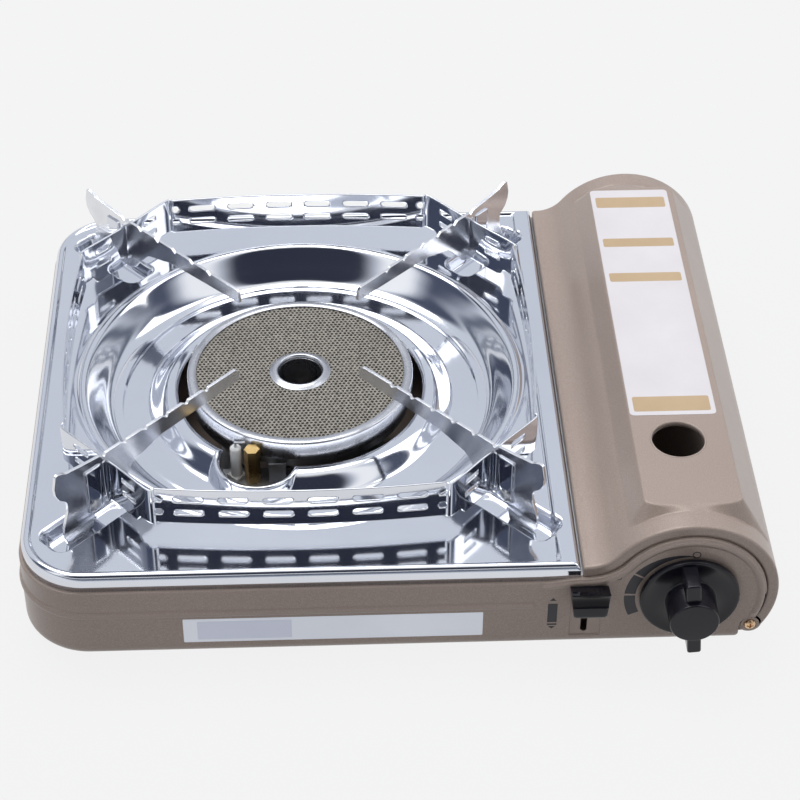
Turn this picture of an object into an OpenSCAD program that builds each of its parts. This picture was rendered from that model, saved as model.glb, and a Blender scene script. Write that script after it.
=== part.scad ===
// Cassette stove with an infrared burner, all sizes in millimetres.
// Drawn with the top plate's left front corner at x 0, y 0 and its rim at z 0, then moved to the frame.

/* [Top plate] */
// width of the top plate, left edge to seam
plate_w = 248; // [232:1:264]
// depth of the top plate and of the body
plate_d = 272; // [262:1:290]
// corner radius of the plate on the left
plate_r = 30; // [20:1:40]
// thickness of the pressed top plate
sheet = 0.8; // [0.6:0.1:1.2]
// height of the skirt round the plate
skirt = 6.5; // [5.5:0.5:7.5]
// depth of the dish under the rim
dish_z = 14.7; // [12:0.1:16]
// radius of the dish rim
dish_r = 107; // [100:1:109]
// radius of the opening round the burner
open_r = 58.9; // [57:0.1:62]
// depth of the raised collar round the opening
collar_z = 6.8; // [5:0.1:8]
// radius of the opening round the electrode
lobe_r = 17.5; // [16:0.5:19]
// depth of the corner troughs
trough_z = 8; // [6:0.5:10]
// width of the corner troughs
trough_w = 19; // [14:0.5:22]

/* [Body] */
// height of the plate rim above the floor underside
body_h = 48.5; // [47:0.5:54]
// thickness of the body sheet
tub_t = 0.9; // [0.7:0.1:1.2]
// depth of the stiffening bead under the rim
bead_z = 22; // [18:0.5:28]
// radius of the lower edge of the body
edge_r = 7; // [5:0.5:8]
// height of the rubber feet
foot_h = 5; // [3:0.5:10]
// radius of the rubber feet
foot_r = 8; // [6:0.5:12]

/* [Cover] */
// radius of the hump of the cover
hump_r = 40.7; // [38:0.1:44]
// radius of the hollow between seam and hump
hollow_r = 16.25; // [12:0.25:20]
// thickness of the cover sheet
cover_t = 0.9; // [0.7:0.1:1.2]
// width of the edge flange at both ends
flange_w = 5.2; // [4:0.1:6]
// width of the flat panel on the crest
panel_w = 43.4; // [36:0.2:48]
// height of the flat panel above the crest
panel_z = 0.6; // [0.3:0.1:2]
// radius of the hole in the panel
hole_r = 12; // [8:0.5:15]
// radius of the hinge screws' shanks
pin_r = 1.95; // [1.5:0.05:2.5]

/* [Burner] */
// radius of the ceramic plate
ceramic_r = 51; // [46:0.5:53]
// thickness of the ceramic plate
ceramic_t = 13; // [11:0.5:14]
// thickness of the fibre gasket
gasket_t = 1.2; // [0.8:0.1:2]
// outer radius of the centre sleeve's flange
core_r = 14.8; // [13:0.1:18]
// bore radius of the centre sleeve
core_bore = 10.4; // [8:0.1:10.8]
// radius of the mixing tube
tube_r = 8; // [6.5:0.25:9]
// radius of the gas pipe
pipe_r = 2.4; // [1.8:0.1:3]

/* [Pan support] */
// height of the pan rest above the plate rim
rest_z = 29; // [26:0.5:36]
// distance of the front and rear guards from the burner centre
guard_y = 109.5; // [104:0.5:112]
// distance of the side guards from the burner centre
guard_x = 107; // [102:0.5:112]
// thickness of the guards
guard_t = 0.8; // [0.6:0.1:1.2]
// thickness of the arms
arm_t = 1.6; // [1.2:0.1:2.5]
// length of the guards' slots
slot_l = 13; // [8:0.5:16]
// height of the guards' slots
slot_h = 3; // [2:0.1:4]

/* [Controls] */
// radius of the knob's skirt
knob_r = 22.1; // [19:0.1:25]
// radius of the knob's hub
hub_r = 10.8; // [8:0.1:13]
// how far the knob stands out of the body
knob_out = 21; // [17:0.5:26]
// radius of the valve stem
stem_r = 3; // [2:0.1:3.5]
// travel of the lock lever
lever_travel = 15; // [12:0.5:15]
// travel of the fork that the lever drives
fork_travel = 8; // [5:0.5:9]
// width of the lever's grip
grip_w = 17.5; // [12:0.5:22]

/* [Hidden] */
$fn = 96;
// clearance of pins that turn or slide, and of seats that don't
run_fit = 0.06;
seat_fit = 0.02;

// underside and upper side of the floor
fb = -body_h;
ft = fb + tub_t;
// walls stand this far outside the plate's skirt, and their bead a little further
out = 1.5;
bead_h = 1;
// flat field of the plate, and the edge bead's width and ledge
field_z = 1.2;
rim_w = 6;
bead_end = plate_w - 20;
part_x = plate_w - 4;
screw_r = 1.5;
screw_y = [60, plate_d - 62];
// burner centre
cx = plate_w / 2 + 1.3;
cy = plate_d / 2 + 2;
// opening round the electrode
lobe_x = cx - 20.3;
lobe_y = cy - 54;
spark_x = lobe_x - 10.3;
spark_y = lobe_y + 3;
post_x = lobe_x - 2.6;
post_y = lobe_y + 0.3;
shelf_z = -20;

// seam of the cover, then centres of the hollow and of the hump, all in the end plane
seam_x = plate_w + 1;
seam_z = -1;
bx = seam_x + 2;
bz = hollow_r + seam_z;
az = -19;
span = hump_r + hollow_r;
tilt = asin((bz - az) / span);
ax = bx + span * cos(tilt);
// cover hinge, on a circle inside the hump
hinge_a = 32.78;
hinge_r = hump_r - 5.61;
px = ax + hinge_r * cos(hinge_a);
pz = az - hinge_r * sin(hinge_a);
lug_r = 5.4;
ear_r = 4.2;
// flat panel of the cover: top, middle, slope of its sides, ends
top_z = az + hump_r + panel_z;
panel_x = ax + 1.4;
panel_low = 5;
side_run = (top_z - panel_low) * 0.6;
panel_y = 12;
ramp_y = 6;
label_z = top_z + 0.04;
hole_y = 57.8;

// cartridge axis and radius, control axis
can_r = 33.5;
can_z = ft + can_r + 0.3;
knob_z = az + 2.5;
reg_r = 15;
reg_y0 = 6;
reg_y1 = 34;
neck_y = 50;
screw_dx = 13.5;
// lock lever and fork plates
lever_x = plate_w + 2.8;
lever_t = 1.2;
fork_x = lever_x + 1.4;
fork_y = 75.2;
drive_y = 25;
drive_z = -28;
grip_z = -20.3;
grip_h = 14.5;
// gas line: jet, angle and length to the burner
jet_x = plate_w - 12;
jet_y = 42;
tube_z = -27;
pipe_z = -16;
to_burner = atan2(cy - jet_y, cx - jet_x);
run = norm([cx - jet_x, cy - jet_y]);
// ignition lead under the floor of the burner side
lead_z = ft + 5;
lead_y = 41;
piezo_x = ax - 28;
piezo_z = -35;

// arms of the pan support
arm_a = 45.8;
rivet_r = 133.4;
rivet_z = 5.4;
rivet_d = 3.2;
bow = 3.9;
guard_top = rest_z - 2.7;
guard_low = 6.5;

// overall box, used to put the origin under the middle
mid_x = (ax + hump_r - out - bead_h) / 2;
mid_y = (plate_d + 2.5 - knob_out) / 2;

bronze = [0.56, 0.49, 0.42];
steel = [0.82, 0.84, 0.87];
zinc = [0.68, 0.70, 0.72];
black = [0.12, 0.12, 0.13];
brass = [0.78, 0.62, 0.34];
white = [0.93, 0.93, 0.91];
clay = [0.66, 0.59, 0.52];
alu = [0.74, 0.75, 0.76];

module put() {
  translate([-mid_x, -mid_y, body_h + foot_h]) children();
}

// a flat outline given as (y, z), drawn out along x
module run_x(x0, x1) {
  translate([x0, 0, 0]) rotate([90, 0, 90]) linear_extrude(x1 - x0) children();
}

// a flat outline given as (x, z), drawn out along y
module run_y(y0, y1) {
  translate([0, y1, 0]) rotate([90, 0, 0]) linear_extrude(y1 - y0) children();
}

// a rod or hole along x, y or z from one end point
module rod_x(p, r, l) {
  translate(p) rotate([0, 90, 0]) cylinder(r = r, h = l);
}

module rod_y(p, r, l) {
  translate(p) rotate([-90, 0, 0]) cylinder(r = r, h = l);
}

module rod_z(p, r, l) {
  translate(p) cylinder(r = r, h = l);
}

// mirrored front to back about the middle of the body
module rear() {
  translate([0, plate_d, 0]) mirror([0, 1, 0]) children();
}

// sheet of thickness t to the left of a bent line
function nrm(a, b) = [-(b[1] - a[1]), b[0] - a[0]] / norm(b - a);
function mit(p, i, t) = let (n = len(p), a = i > 0 ? nrm(p[i - 1], p[i]) : nrm(p[0], p[1]),
  b = i < n - 1 ? nrm(p[i], p[i + 1]) : a, s = a + b) p[i] + s * (2 * t / (s * s));
function side(p, t) = [for (i = [0 : len(p) - 1]) mit(p, i, t)];
function back(p) = [for (i = [len(p) - 1 : -1 : 0]) p[i]];
function arc(c, r, a0, a1, n) = [for (i = [0 : n]) let (a = a0 + (a1 - a0) * i / n)
  c + r * [cos(a), sin(a)]];

module strip(p, t) {
  polygon(concat(p, back(side(p, t))));
}

// end outline of the cover, d inside its outer face, from the station x0 on; the arcs cross a little
module hump(d, x0) {
  q = (hollow_r + d) * [cos(tilt), -sin(tilt)];
  translate([ax, az]) circle(hump_r - d + 0.03);
  difference() {
    polygon([[x0, seam_z - d], [bx, seam_z - d], [bx, bz] + q, [ax, az], [ax, -60], [x0, -60]]);
    translate([bx, bz]) circle(hollow_r + d);
  }
}

// ---- base tub ----

wall_out = [[7, -skirt], [0.4, -skirt], [0, -skirt - 0.4], [0, -bead_z + 1.8],
  [-0.7 * bead_h, -bead_z + 1.2], [-bead_h, -bead_z], [-0.7 * bead_h, -bead_z - 1.2],
  [0, -bead_z - 1.8]];
wall_in = [[tub_t, -bead_z - 1.9], [tub_t - 0.8, -bead_z - 0.8], [tub_t - 0.8, -bead_z + 0.8],
  [tub_t, -bead_z + 1.9], [tub_t, -skirt - tub_t], [7, -skirt - tub_t]];
foot_out = arc([edge_r, fb + edge_r], edge_r, 180, 270, 8);
foot_in = arc([edge_r, fb + edge_r], edge_r - tub_t, 270, 180, 8);
lip_z = fb + edge_r + 0.5;
// the floor's sheet starts a little outside the end of the edge radius
floor_in = edge_r - out - 0.1;

module wall() {
  polygon(concat(wall_out, foot_out, foot_in, wall_in));
}

module wall_foot() {
  polygon(concat([[0, lip_z]], foot_out, foot_in, [[tub_t, lip_z]]));
}

module tub_corner() {
  rotate_extrude(angle = 90) translate([plate_r + out, 0]) mirror([1, 0]) wall();
}

module end_panel2d() {
  difference() {
    union() {
      intersection() {
        hump(flange_w + 0.4, bead_end);
        translate([bead_end - 0.1, lip_z - 0.6]) square([120, 80]);
      }
      translate([ax, lip_z - 0.6]) square([24.5, 12]);
    }
    translate([px, pz]) circle(lug_r + 1);
  }
}

// raised edge along the end panel, in steps that narrow outward
module panel_bead() {
  in = flange_w + 1.95;
  for (s = [[1.3, 0.4], [0.95, 0.75], [0.5, 1]]) run_y(-out - s[1] * bead_h, -out + 0.2) intersection() {
    difference() {
      hump(in - s[0], bead_end);
      hump(in + s[0], bead_end - 1);
    }
    translate([bead_end + 4 - s[0], az - 12.6]) square([120, 80]);
  }
}

// hinge ear, set back behind the end panel and joined to it by a step
module ear() {
  run_y(1.4, 2.4) translate([px, pz]) circle(ear_r);
  translate([px, 1.4, pz]) rotate([0, -135, 0]) translate([0, 0, -3.9]) cube([15, 1, 7.8]);
  translate([px - 10, tub_t - out - 0.3, pz + 8]) rotate([0, -135, 0]) translate([-3, 0, -3])
    cube([6, 3, 6]);
}

// one end of the tub: wall, end panel, lower edge and hinge ear
module end_wall() {
  translate([0, -out, 0]) run_x(plate_r, bead_end) wall();
  translate([0, -out, 0]) run_x(bead_end, ax + 22.5) wall_foot();
  run_y(-out, tub_t - out) end_panel2d();
  translate([bead_end, tub_t - out - 0.3, -skirt - tub_t]) cube([part_x - bead_end, 6, tub_t]);
  panel_bead();
  difference() {
    ear();
    rod_y([px, -5, pz], pin_r + seat_fit, 10);
  }
}

module base_shell() {
  long = plate_d - 2 * plate_r;
  color(bronze) put() difference() {
    union() {
      end_wall();
      rear() end_wall();
      translate([plate_r, plate_r, 0]) rotate([0, 0, 180]) tub_corner();
      translate([plate_r, plate_d - plate_r, 0]) rotate([0, 0, 90]) tub_corner();
      translate([-out, plate_d - plate_r, 0]) rotate([90, 0, 0]) linear_extrude(long) wall();
      translate([floor_in, plate_r, fb]) cube([px - 1 - floor_in, long, tub_t]);
      translate([plate_r, floor_in, fb]) cube([ax + 22.5 - plate_r, plate_d - 2 * floor_in, tub_t]);
      rod_z([plate_r, plate_r, fb], plate_r - floor_in, tub_t);
      rod_z([plate_r, plate_d - plate_r, fb], plate_r - floor_in, tub_t);
    }
    rod_y([ax, -8, knob_z], stem_r + 1.6, 11);
    for (s = [-1, 1]) rod_y([ax + screw_dx * s, -8, knob_z], 1.6, 11);
    translate([lever_x - 1.5, -8, grip_z - lever_travel - 4.2]) cube([3.1, 10, lever_travel + 15]);
    for (y = screw_y) rod_z([part_x - 4, y, fb - 1], screw_r + seat_fit, 4);
  }
}

module feet() {
  color(black) put() for (x = [26, ax + 3.5]) for (y = [26, plate_d - 26])
    translate([x, y, fb - foot_h]) cylinder(r1 = foot_r - 1.5, r2 = foot_r, h = foot_h);
}

// ---- top plate ----

module plate2d(d) {
  for (y = [plate_r, plate_d - plate_r]) translate([plate_r, y]) circle(plate_r - d);
  translate([d, plate_r]) square([plate_w - 2 * d, plate_d - 2 * plate_r]);
  translate([plate_r, d]) square([plate_w - plate_r - d, plate_d - 2 * d]);
}

// skirt and rolled bead at the edge of the plate
module rim2d() {
  strip([[0, -skirt], [0, -1.6], [0.3, -0.7], [0.9, -0.15], [1.8, 0], [2.7, -0.15], [3.4, -0.8],
    [4, -field_z], [rim_w, -field_z]], -sheet);
}

module rim_corner() {
  rotate_extrude(angle = 90) translate([plate_r, 0]) mirror([1, 0]) rim2d();
}

dish_pts = [[dish_r + 1.5, -field_z], [dish_r, -0.9], [dish_r - 1, 0], [dish_r - 2.2, 0.4],
  [dish_r - 3.6, 0], [dish_r - 4.8, -1.6], [dish_r - 12.8, -dish_z + 3.1],
  [dish_r - 15, -dish_z + 1.1], [dish_r - 18.5, -dish_z], [open_r + 14.1, -dish_z],
  [open_r + 12.1, -dish_z + 0.8], [open_r + 10.7, -dish_z + 4.1], [open_r + 8.7, -collar_z - 1],
  [open_r + 6.3, -collar_z], [open_r + 3.1, -collar_z - 0.1], [open_r, -collar_z - 1.2]];

lobe_pts = [[lobe_r + 6.5, -dish_z], [lobe_r + 5.3, -dish_z + 0.8], [lobe_r + 4.5, -dish_z + 4.7],
  [lobe_r + 3.5, -collar_z - 1], [lobe_r + 2.3, -collar_z - 0.2], [lobe_r + 1.1, -collar_z - 0.3],
  [lobe_r, -collar_z - 1.2]];

// plan of the troughs that take the feet of the arms
module trough2d(d) {
  w = trough_w / 2 - 5;
  in = dish_r + 6;
  end = rivet_r + 28.6;
  translate([cx, cy]) for (a = [arm_a, 180 - arm_a, 180 + arm_a, -arm_a]) rotate(a) {
    translate([in + d, -trough_w / 2 + d]) square([end - 3 - in - d, trough_w - 2 * d]);
    for (s = [-w, w]) translate([end - 5, s]) circle(5 - d);
    translate([end - 5, -w]) square([5 - d, 2 * w]);
  }
}

module troughs() {
  difference() {
    translate([0, 0, -trough_z - sheet]) linear_extrude(trough_z + sheet - field_z) trough2d(0);
    translate([0, 0, -trough_z]) linear_extrude(trough_z) trough2d(sheet);
    rod_z([cx, cy, -20], dish_r - 1.2, 30);
  }
}

module plate_edge() {
  long = plate_d - 2 * plate_r;
  run_x(plate_r, plate_w - 6) rim2d();
  rear() run_x(plate_r, plate_w - 6) rim2d();
  translate([0, plate_d - plate_r, 0]) rotate([90, 0, 0]) linear_extrude(long) rim2d();
  translate([plate_w, plate_d, 0]) rotate([90, 0, 0]) linear_extrude(plate_d) mirror([1, 0]) rim2d();
  translate([plate_r, plate_r, 0]) rotate([0, 0, 180]) rim_corner();
  translate([plate_r, plate_d - plate_r, 0]) rotate([0, 0, 90]) rim_corner();
  for (y = [0, plate_d - sheet]) translate([plate_w - 6.5, y, -skirt]) cube([6.5, sheet, skirt - 1.3]);
}

module top_plate() {
  color(steel) put() {
    difference() {
      union() {
        translate([0, 0, -field_z - sheet]) linear_extrude(sheet) difference() {
          plate2d(rim_w - 0.5);
          translate([cx, cy]) circle(dish_r + 0.6);
          trough2d(0.4);
        }
        translate([cx, cy, 0]) rotate_extrude($fn = 144) strip(dish_pts, sheet);
        troughs();
        plate_edge();
      }
      difference() {
        rod_z([lobe_x, lobe_y, -20], lobe_r + 5.9, 22);
        rod_z([cx, cy, -21], open_r + 10.1, 24);
      }
      rod_z([lobe_x, lobe_y, -20], lobe_r, 22);
    }
    difference() {
      translate([lobe_x, lobe_y, 0]) rotate_extrude() strip(lobe_pts, sheet);
      rod_z([cx, cy, -21], open_r + 9.7, 24);
    }
  }
}

// ---- partition between the burner and the cartridge ----

vent_n = 5;
vent_w = 10;
vent_h = 12;

module partition() {
  foot = part_x - 8;
  ledge_z = -skirt - 0.8;
  // its lower corners are cut to clear the radius of the tub
  corner = [[edge_r - out, ft], [1, ft + 2.1], [1, ledge_z]];
  color(zinc) put() difference() {
    union() {
      run_x(part_x, part_x + 0.8) polygon(concat(corner, [for (i = [2 : -1 : 0])
        [plate_d - corner[i][0], corner[i][1]]]));
      translate([foot, 8, ft]) cube([8.4, plate_d - 16, 0.8]);
      translate([part_x, 1, ledge_z]) cube([9.5, plate_d - 2, 0.8]);
    }
    rod_x([foot, jet_y, pipe_z], pipe_r + 1.6, 12);
    rod_x([foot, lead_y, lead_z], 2.4, 12);
    for (y = screw_y) rod_z([part_x - 4, y, ft - 1], screw_r + seat_fit, 3);
    for (i = [0 : vent_n - 1]) translate([foot, cy - 28 + i * 2 * vent_w, -30]) cube([12, vent_w, vent_h]);
  }
}

module plate_screws() {
  color(zinc) put() for (y = screw_y) {
    rod_z([part_x - 4, y, fb - 1.2], 2 * screw_r, 1.2);
    rod_z([part_x - 4, y, fb - 1.2], screw_r, 6);
  }
}

// ---- cover ----

// everything above the lower edge of the cover
module keep2d() {
  u = [cos(atan2(az - pz, px - ax) + 3.3), -sin(atan2(az - pz, px - ax) + 3.3)];
  low = -skirt + 0.05;
  polygon([[240, low], [ax - 11.5, low], [ax, az], [ax, az] + 60 * u, [ax + 110, -30], [ax + 110, 60],
    [240, 60]]);
}

// flat panel's cross section, d inside its outer face
module panel2d(d) {
  w = panel_w / 2 - d * 0.6;
  polygon([[panel_x - w - side_run, panel_low - d], [panel_x - w, top_z - d],
    [panel_x + w, top_z - d], [panel_x + w + side_run, panel_low - d]]);
}

// the crest's cross section at the foot of the ramps
module crest2d(d) {
  r = hump_r - d - 0.05;
  a = asin((panel_low - az) / r);
  polygon(arc([ax, az], r, a, 180 - a, 16));
}

module ramp(d) {
  hull() {
    run_y(ramp_y + d, ramp_y + d + 0.1) crest2d(d);
    run_y(panel_y + d, panel_y + d + 0.1) panel2d(d);
  }
}

// solid under the cover's face, d inside it
module cover_form(d) {
  run_y(-1, plate_d + 1) hump(d, seam_x + (d > 0 ? 0.9 : 0));
  run_y(panel_y + d, plate_d - panel_y - d) panel2d(d);
  ramp(d);
  rear() ramp(d);
}

module cover_end() {
  difference() {
    union() {
      intersection() {
        difference() {
          hump(0, seam_x);
          hump(flange_w, 240);
        }
        keep2d();
      }
      translate([px, pz]) circle(lug_r);
    }
    translate([px, pz]) circle(pin_r + run_fit + seat_fit);
  }
}

module cover() {
  color(bronze) put() difference() {
    union() {
      intersection() {
        difference() {
          cover_form(0);
          cover_form(cover_t);
        }
        run_y(0, plate_d) keep2d();
      }
      run_y(0, cover_t) cover_end();
      run_y(plate_d - cover_t, plate_d) cover_end();
    }
    rod_z([ax + 0.3, hole_y, 0], hole_r, 40);
  }
}

module cover_label() {
  color(white) put() translate([panel_x - 20.8, hole_y + 17, label_z]) cube([40, plate_d - 91.8, 0.2]);
}

module front_label() {
  color(white) put() translate([71.7, -out - 0.2, fb + 8.7]) cube([133.6, 0.2, 14.4]);
}

// cross head screw that carries the cover
module hinge_screw() {
  head = -1.7;
  difference() {
    union() {
      rod_y([px, head, pz], 4, 1.4);
      translate([px, head, pz]) rotate([90, 0, 0]) cylinder(r1 = 4, r2 = 2.6, h = 0.8);
      rod_y([px, -0.4, pz], pin_r, 5.8);
    }
    for (a = [0, 90]) translate([px, head - 0.5, pz]) rotate([0, a, 0]) cube([0.9, 1.6, 4], center = true);
  }
}

module hinge_screw_front() {
  color(brass) put() hinge_screw();
}

module hinge_screw_rear() {
  color(brass) put() rear() hinge_screw();
}

// ---- burner ----

bowl_low = -36;
bowl_t = 0.8;
shell_r = ceramic_r + gasket_t + 0.9;
core_out = core_bore + 0.9;

module bowl_screw_holes(r) {
  for (a = [60, 180, 300]) translate([cx, cy, bowl_low - 4]) rotate(a) rod_z([20, 0, 0], r, 6);
}

module burner_bowl() {
  low = 0.4 - ceramic_t;
  color(zinc) put() difference() {
    translate([cx, cy, 0]) rotate_extrude($fn = 144)
      strip([[shell_r, -0.6], [shell_r, low], [shell_r - 6.1, low], [42.5, -30], [38, bowl_low],
        [core_out + 0.3, bowl_low]], -bowl_t);
    translate([jet_x, jet_y, tube_z]) rotate([0, 0, to_burner]) rod_x([0, 0, 0], tube_r + 0.05, run - 26);
    bowl_screw_holes(1.6);
  }
}

module burner_bracket() {
  z = bowl_low - bowl_t - 0.8;
  color(zinc) put() difference() {
    union() {
      translate([cx - 28, cy - 21.5, z]) cube([56, 43, 0.8]);
      for (s = [-1, 1]) translate([cx + s * 27.6 - 0.4, cy - 21.5, ft]) cube([0.8, 43, z + 0.6 - ft]);
      for (s = [-1, 1]) translate([cx + s * 33.6 - 6.4, cy - 21.5, ft]) cube([12.8, 43, 0.8]);
    }
    rod_z([cx, cy, -40], core_out + 0.3, 6);
    bowl_screw_holes(1.6);
  }
}

module burner_screws() {
  z = bowl_low - bowl_t - 2.4;
  color(zinc) put() for (a = [60, 180, 300]) translate([cx, cy, 0]) rotate(a) {
    rod_z([20, 0, z], 2.8, 1.5);
    rod_z([20, 0, z + 1.2], 1.55, 4);
  }
}

module ceramic_plate() {
  color(clay) put() translate([cx, cy, 1.3 - ceramic_t]) difference() {
    cylinder(r = ceramic_r, h = ceramic_t);
    rod_z([0, 0, -1], core_out + 0.2, ceramic_t + 2);
  }
}

module burner_gasket() {
  color(white) put() translate([cx, cy, 1.3 - ceramic_t]) difference() {
    cylinder(r = ceramic_r + gasket_t + 0.05, h = ceramic_t - 2);
    rod_z([0, 0, -1], ceramic_r + 0.05, ceramic_t);
  }
}

module burner_ring() {
  r = shell_r + 1.4;
  color(steel) put() translate([cx, cy, 0]) {
    rotate_extrude($fn = 144) strip([[ceramic_r - 0.2, 2], [r - 0.6, 2], [r - 0.1, 1.5], [r, -7.7]], -0.7);
    for (a = [20, 160, 200, 340]) rotate(a) translate([r - 0.2, -3.5, -4]) cube([1, 7, 5.4]);
  }
}

module burner_core() {
  color(steel) put() translate([cx, cy, 0]) rotate_extrude()
    polygon([[core_bore, bowl_low - 2.4], [core_out, bowl_low - 2.4], [core_out, 1.35],
      [core_r - 0.2, 1.35], [core_r, 1.6], [core_r - 0.4, 2.1], [core_out + 0.3, 2.6],
      [core_bore + 0.4, 2.3], [core_bore, 1.6]]);
}

// station t on the line from the jet to the burner, looking along it
module along(t) {
  translate([jet_x, jet_y, tube_z]) rotate([0, 0, to_burner]) translate([t, 0, 0]) rotate([0, 90, 0])
    children();
}

module mixing_tube() {
  bell = tube_r + 2.5;
  wall = 0.8;
  color(zinc) put() {
    along(34) difference() {
      cylinder(r = tube_r, h = run - 72.5);
      rod_z([0, 0, -1], tube_r - wall, run);
    }
    along(22) difference() {
      cylinder(r1 = bell, r2 = tube_r, h = 12.1);
      translate([0, 0, wall]) cylinder(r1 = bell - wall, r2 = tube_r - wall, h = 11.4);
      rod_z([0, 0, -1], 4.05, 3);
      for (a = [45, 135, 225, 315]) rotate(a) rod_z([7, 0, -1], 1.6, 3);
    }
  }
}

module gas_jet() {
  color(brass) put() along(14) difference() {
    union() {
      cylinder(r = 5, h = 6.7, $fn = 6);
      cylinder(r = 4, h = 12);
      translate([0, 0, 12]) cylinder(r1 = 4, r2 = 2, h = 2.5);
    }
    rod_z([0, 0, -1], pipe_r + 0.1, 8);
    rod_z([0, 0, 5], 0.5, 12);
  }
}

module gas_pipe() {
  x = jet_x + 2;
  color(alu) put() {
    rod_x([x, jet_y, pipe_z], pipe_r, ax - 18 - x);
    translate([x, jet_y, pipe_z]) sphere(pipe_r);
    rod_z([x, jet_y, tube_z], pipe_r, pipe_z - tube_z);
    translate([x, jet_y, tube_z]) sphere(pipe_r);
    translate([x, jet_y, tube_z]) rotate([0, 0, to_burner]) rod_x([0, 0, 0], pipe_r, 10);
    along(5) cylinder(r = pipe_r, h = 13);
  }
}

// ---- ignition ----

module electrode_bracket() {
  leg_x = lobe_x + 7;
  leg_y = lobe_y + 5;
  t = 0.8;
  color(zinc) put() difference() {
    union() {
      translate([spark_x - 6.7, lobe_y - 7, shelf_z - t]) cube([32, 15, t]);
      translate([lobe_x + 5, lobe_y - 1.6, shelf_z - t]) cube([8, t, 11.5]);
      translate([leg_x, leg_y, ft]) cube([8, t, shelf_z - ft - 0.6]);
      translate([leg_x, leg_y - 9, ft]) cube([8, 9.8, t]);
    }
    rod_z([spark_x, spark_y, shelf_z - 2], 2.7, 4);
    rod_z([post_x, post_y, shelf_z - 2], 1.6, 4);
  }
}

module electrode_ceramic() {
  color(white) put() translate([spark_x, spark_y, 0]) difference() {
    union() {
      rod_z([0, 0, shelf_z - 6], 2.65, 23.6);
      translate([0, 0, shelf_z]) cylinder(r = 4.6, h = 1.4, $fn = 4);
      translate([0, 0, -2.4]) cylinder(r1 = 2.65, r2 = 2, h = 0.8);
    }
    rod_z([0, 0, -30], 0.7, 32);
  }
}

module electrode_wire() {
  color(zinc) put() translate([spark_x, spark_y, 0]) {
    rod_z([0, 0, shelf_z - 7], 0.65, 28.2);
    rod_x([-0.4, 0, 0.7], 0.55, 5);
  }
}

module brass_post() {
  color(brass) put() translate([post_x, post_y, 0]) {
    translate([0, 0, shelf_z]) cylinder(r = 3.7, h = 19, $fn = 6);
    rod_z([0, 0, shelf_z - 3], 1.55, 3.2);
  }
}

module lead_leg(a, b) {
  v = b - a;
  l = norm(v);
  translate(a) sphere(1.4, $fn = 24);
  translate(a) rotate([0, acos(v[2] / l), atan2(v[1], v[0])]) cylinder(r = 1.1, h = l, $fn = 24);
}

module ignition_lead() {
  stops = [[spark_x, spark_y, shelf_z - 9], [spark_x, spark_y, lead_z], [spark_x, lead_y, lead_z],
    [piezo_x, lead_y, lead_z], [piezo_x, lead_y, piezo_z], [piezo_x, 37 + seat_fit, piezo_z]];
  color(black) put() for (i = [0 : 4]) lead_leg(stops[i], stops[i + 1]);
}

module piezo_igniter() {
  color(black) put() {
    rod_y([piezo_x, 4, piezo_z], 5.4, 30);
    rod_y([piezo_x, 34, piezo_z], 3, 3);
    translate([piezo_x - 5.5, 8, ft]) cube([11, 22, piezo_z - 3 - ft]);
  }
}

// ---- regulator ----

module regulator_body() {
  color(alu) put() difference() {
    union() {
      rod_y([ax, reg_y0, knob_z], reg_r, reg_y1 - reg_y0);
      rod_y([ax, 0.7, knob_z], 9, reg_y0 - 0.7);
      for (s = [-1, 1]) rod_y([ax + screw_dx * s, 0.7, knob_z], 3.6, 6);
      rod_y([ax, reg_y1, can_z], 10, neck_y - reg_y1);
      rod_x([ax - 17.9, jet_y, pipe_z], 4.6, 10);
      rod_x([ax + 11.5, 20, knob_z], reg_r - 2, 4);
    }
    rod_y([ax, 0, knob_z], stem_r + run_fit, 22);
    for (s = [-1, 1]) rod_y([ax + screw_dx * s, 0, knob_z], 1.5, 6.6);
    rod_y([ax, neck_y - 10, can_z], 4.5, 11);
    rod_x([ax - 19.5, jet_y, pipe_z], 1.4, 16);
  }
}

module regulator_cap() {
  x = ax + 15.5;
  color(zinc) put() translate([x, 20, knob_z]) {
    rod_x([0, 0, 0], reg_r - 2, 1.2);
    translate([1.2, 0, 0]) rotate([0, 90, 0]) cylinder(r1 = 10.5, r2 = 9, h = 4.5);
    rod_x([5.7, 0, 0], 3, 1.8);
    for (a = [45, 135, 225, 315]) rotate([a, 0, 0]) rod_x([1.2, 11.2, 0], 1.6, 1.2);
  }
}

module regulator_nozzle() {
  color(brass) put() difference() {
    union() {
      rod_y([ax, neck_y - 9, can_z], 4.4, 9);
      rod_y([ax, neck_y, can_z], 6.5, 2);
      rod_y([ax, neck_y + 2, can_z], 3.4, 3);
    }
    rod_y([ax, neck_y - 10, can_z], 1.5, 16);
  }
}

module nozzle_seal() {
  color(black) put() difference() {
    rod_y([ax, neck_y + 2, can_z], 5.8, 1.6);
    rod_y([ax, neck_y + 1, can_z], 3.45, 4);
  }
}

module regulator_bracket() {
  color(zinc) put() difference() {
    union() {
      run_y(tub_t - out, 0.7) {
        translate([ax - 20, knob_z - 8]) square([40, 25]);
        translate([ax - 20, knob_z - 17]) square([16, 10]);
      }
      translate([ax - 20, tub_t - out, knob_z - 17.8]) cube([12, 14, 0.8]);
    }
    rod_y([ax, -2, knob_z], stem_r + 1.6, 4);
    for (s = [-1, 1]) rod_y([ax + screw_dx * s, -2, knob_z], 1.6, 4);
  }
}

module bracket_screws() {
  color(zinc) put() for (s = [-1, 1]) {
    rod_y([ax + screw_dx * s, -out - 1.4, knob_z], 2.8, 1.4);
    rod_y([ax + screw_dx * s, -out - 0.1, knob_z], 1.48, 8.1);
  }
}

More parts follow.
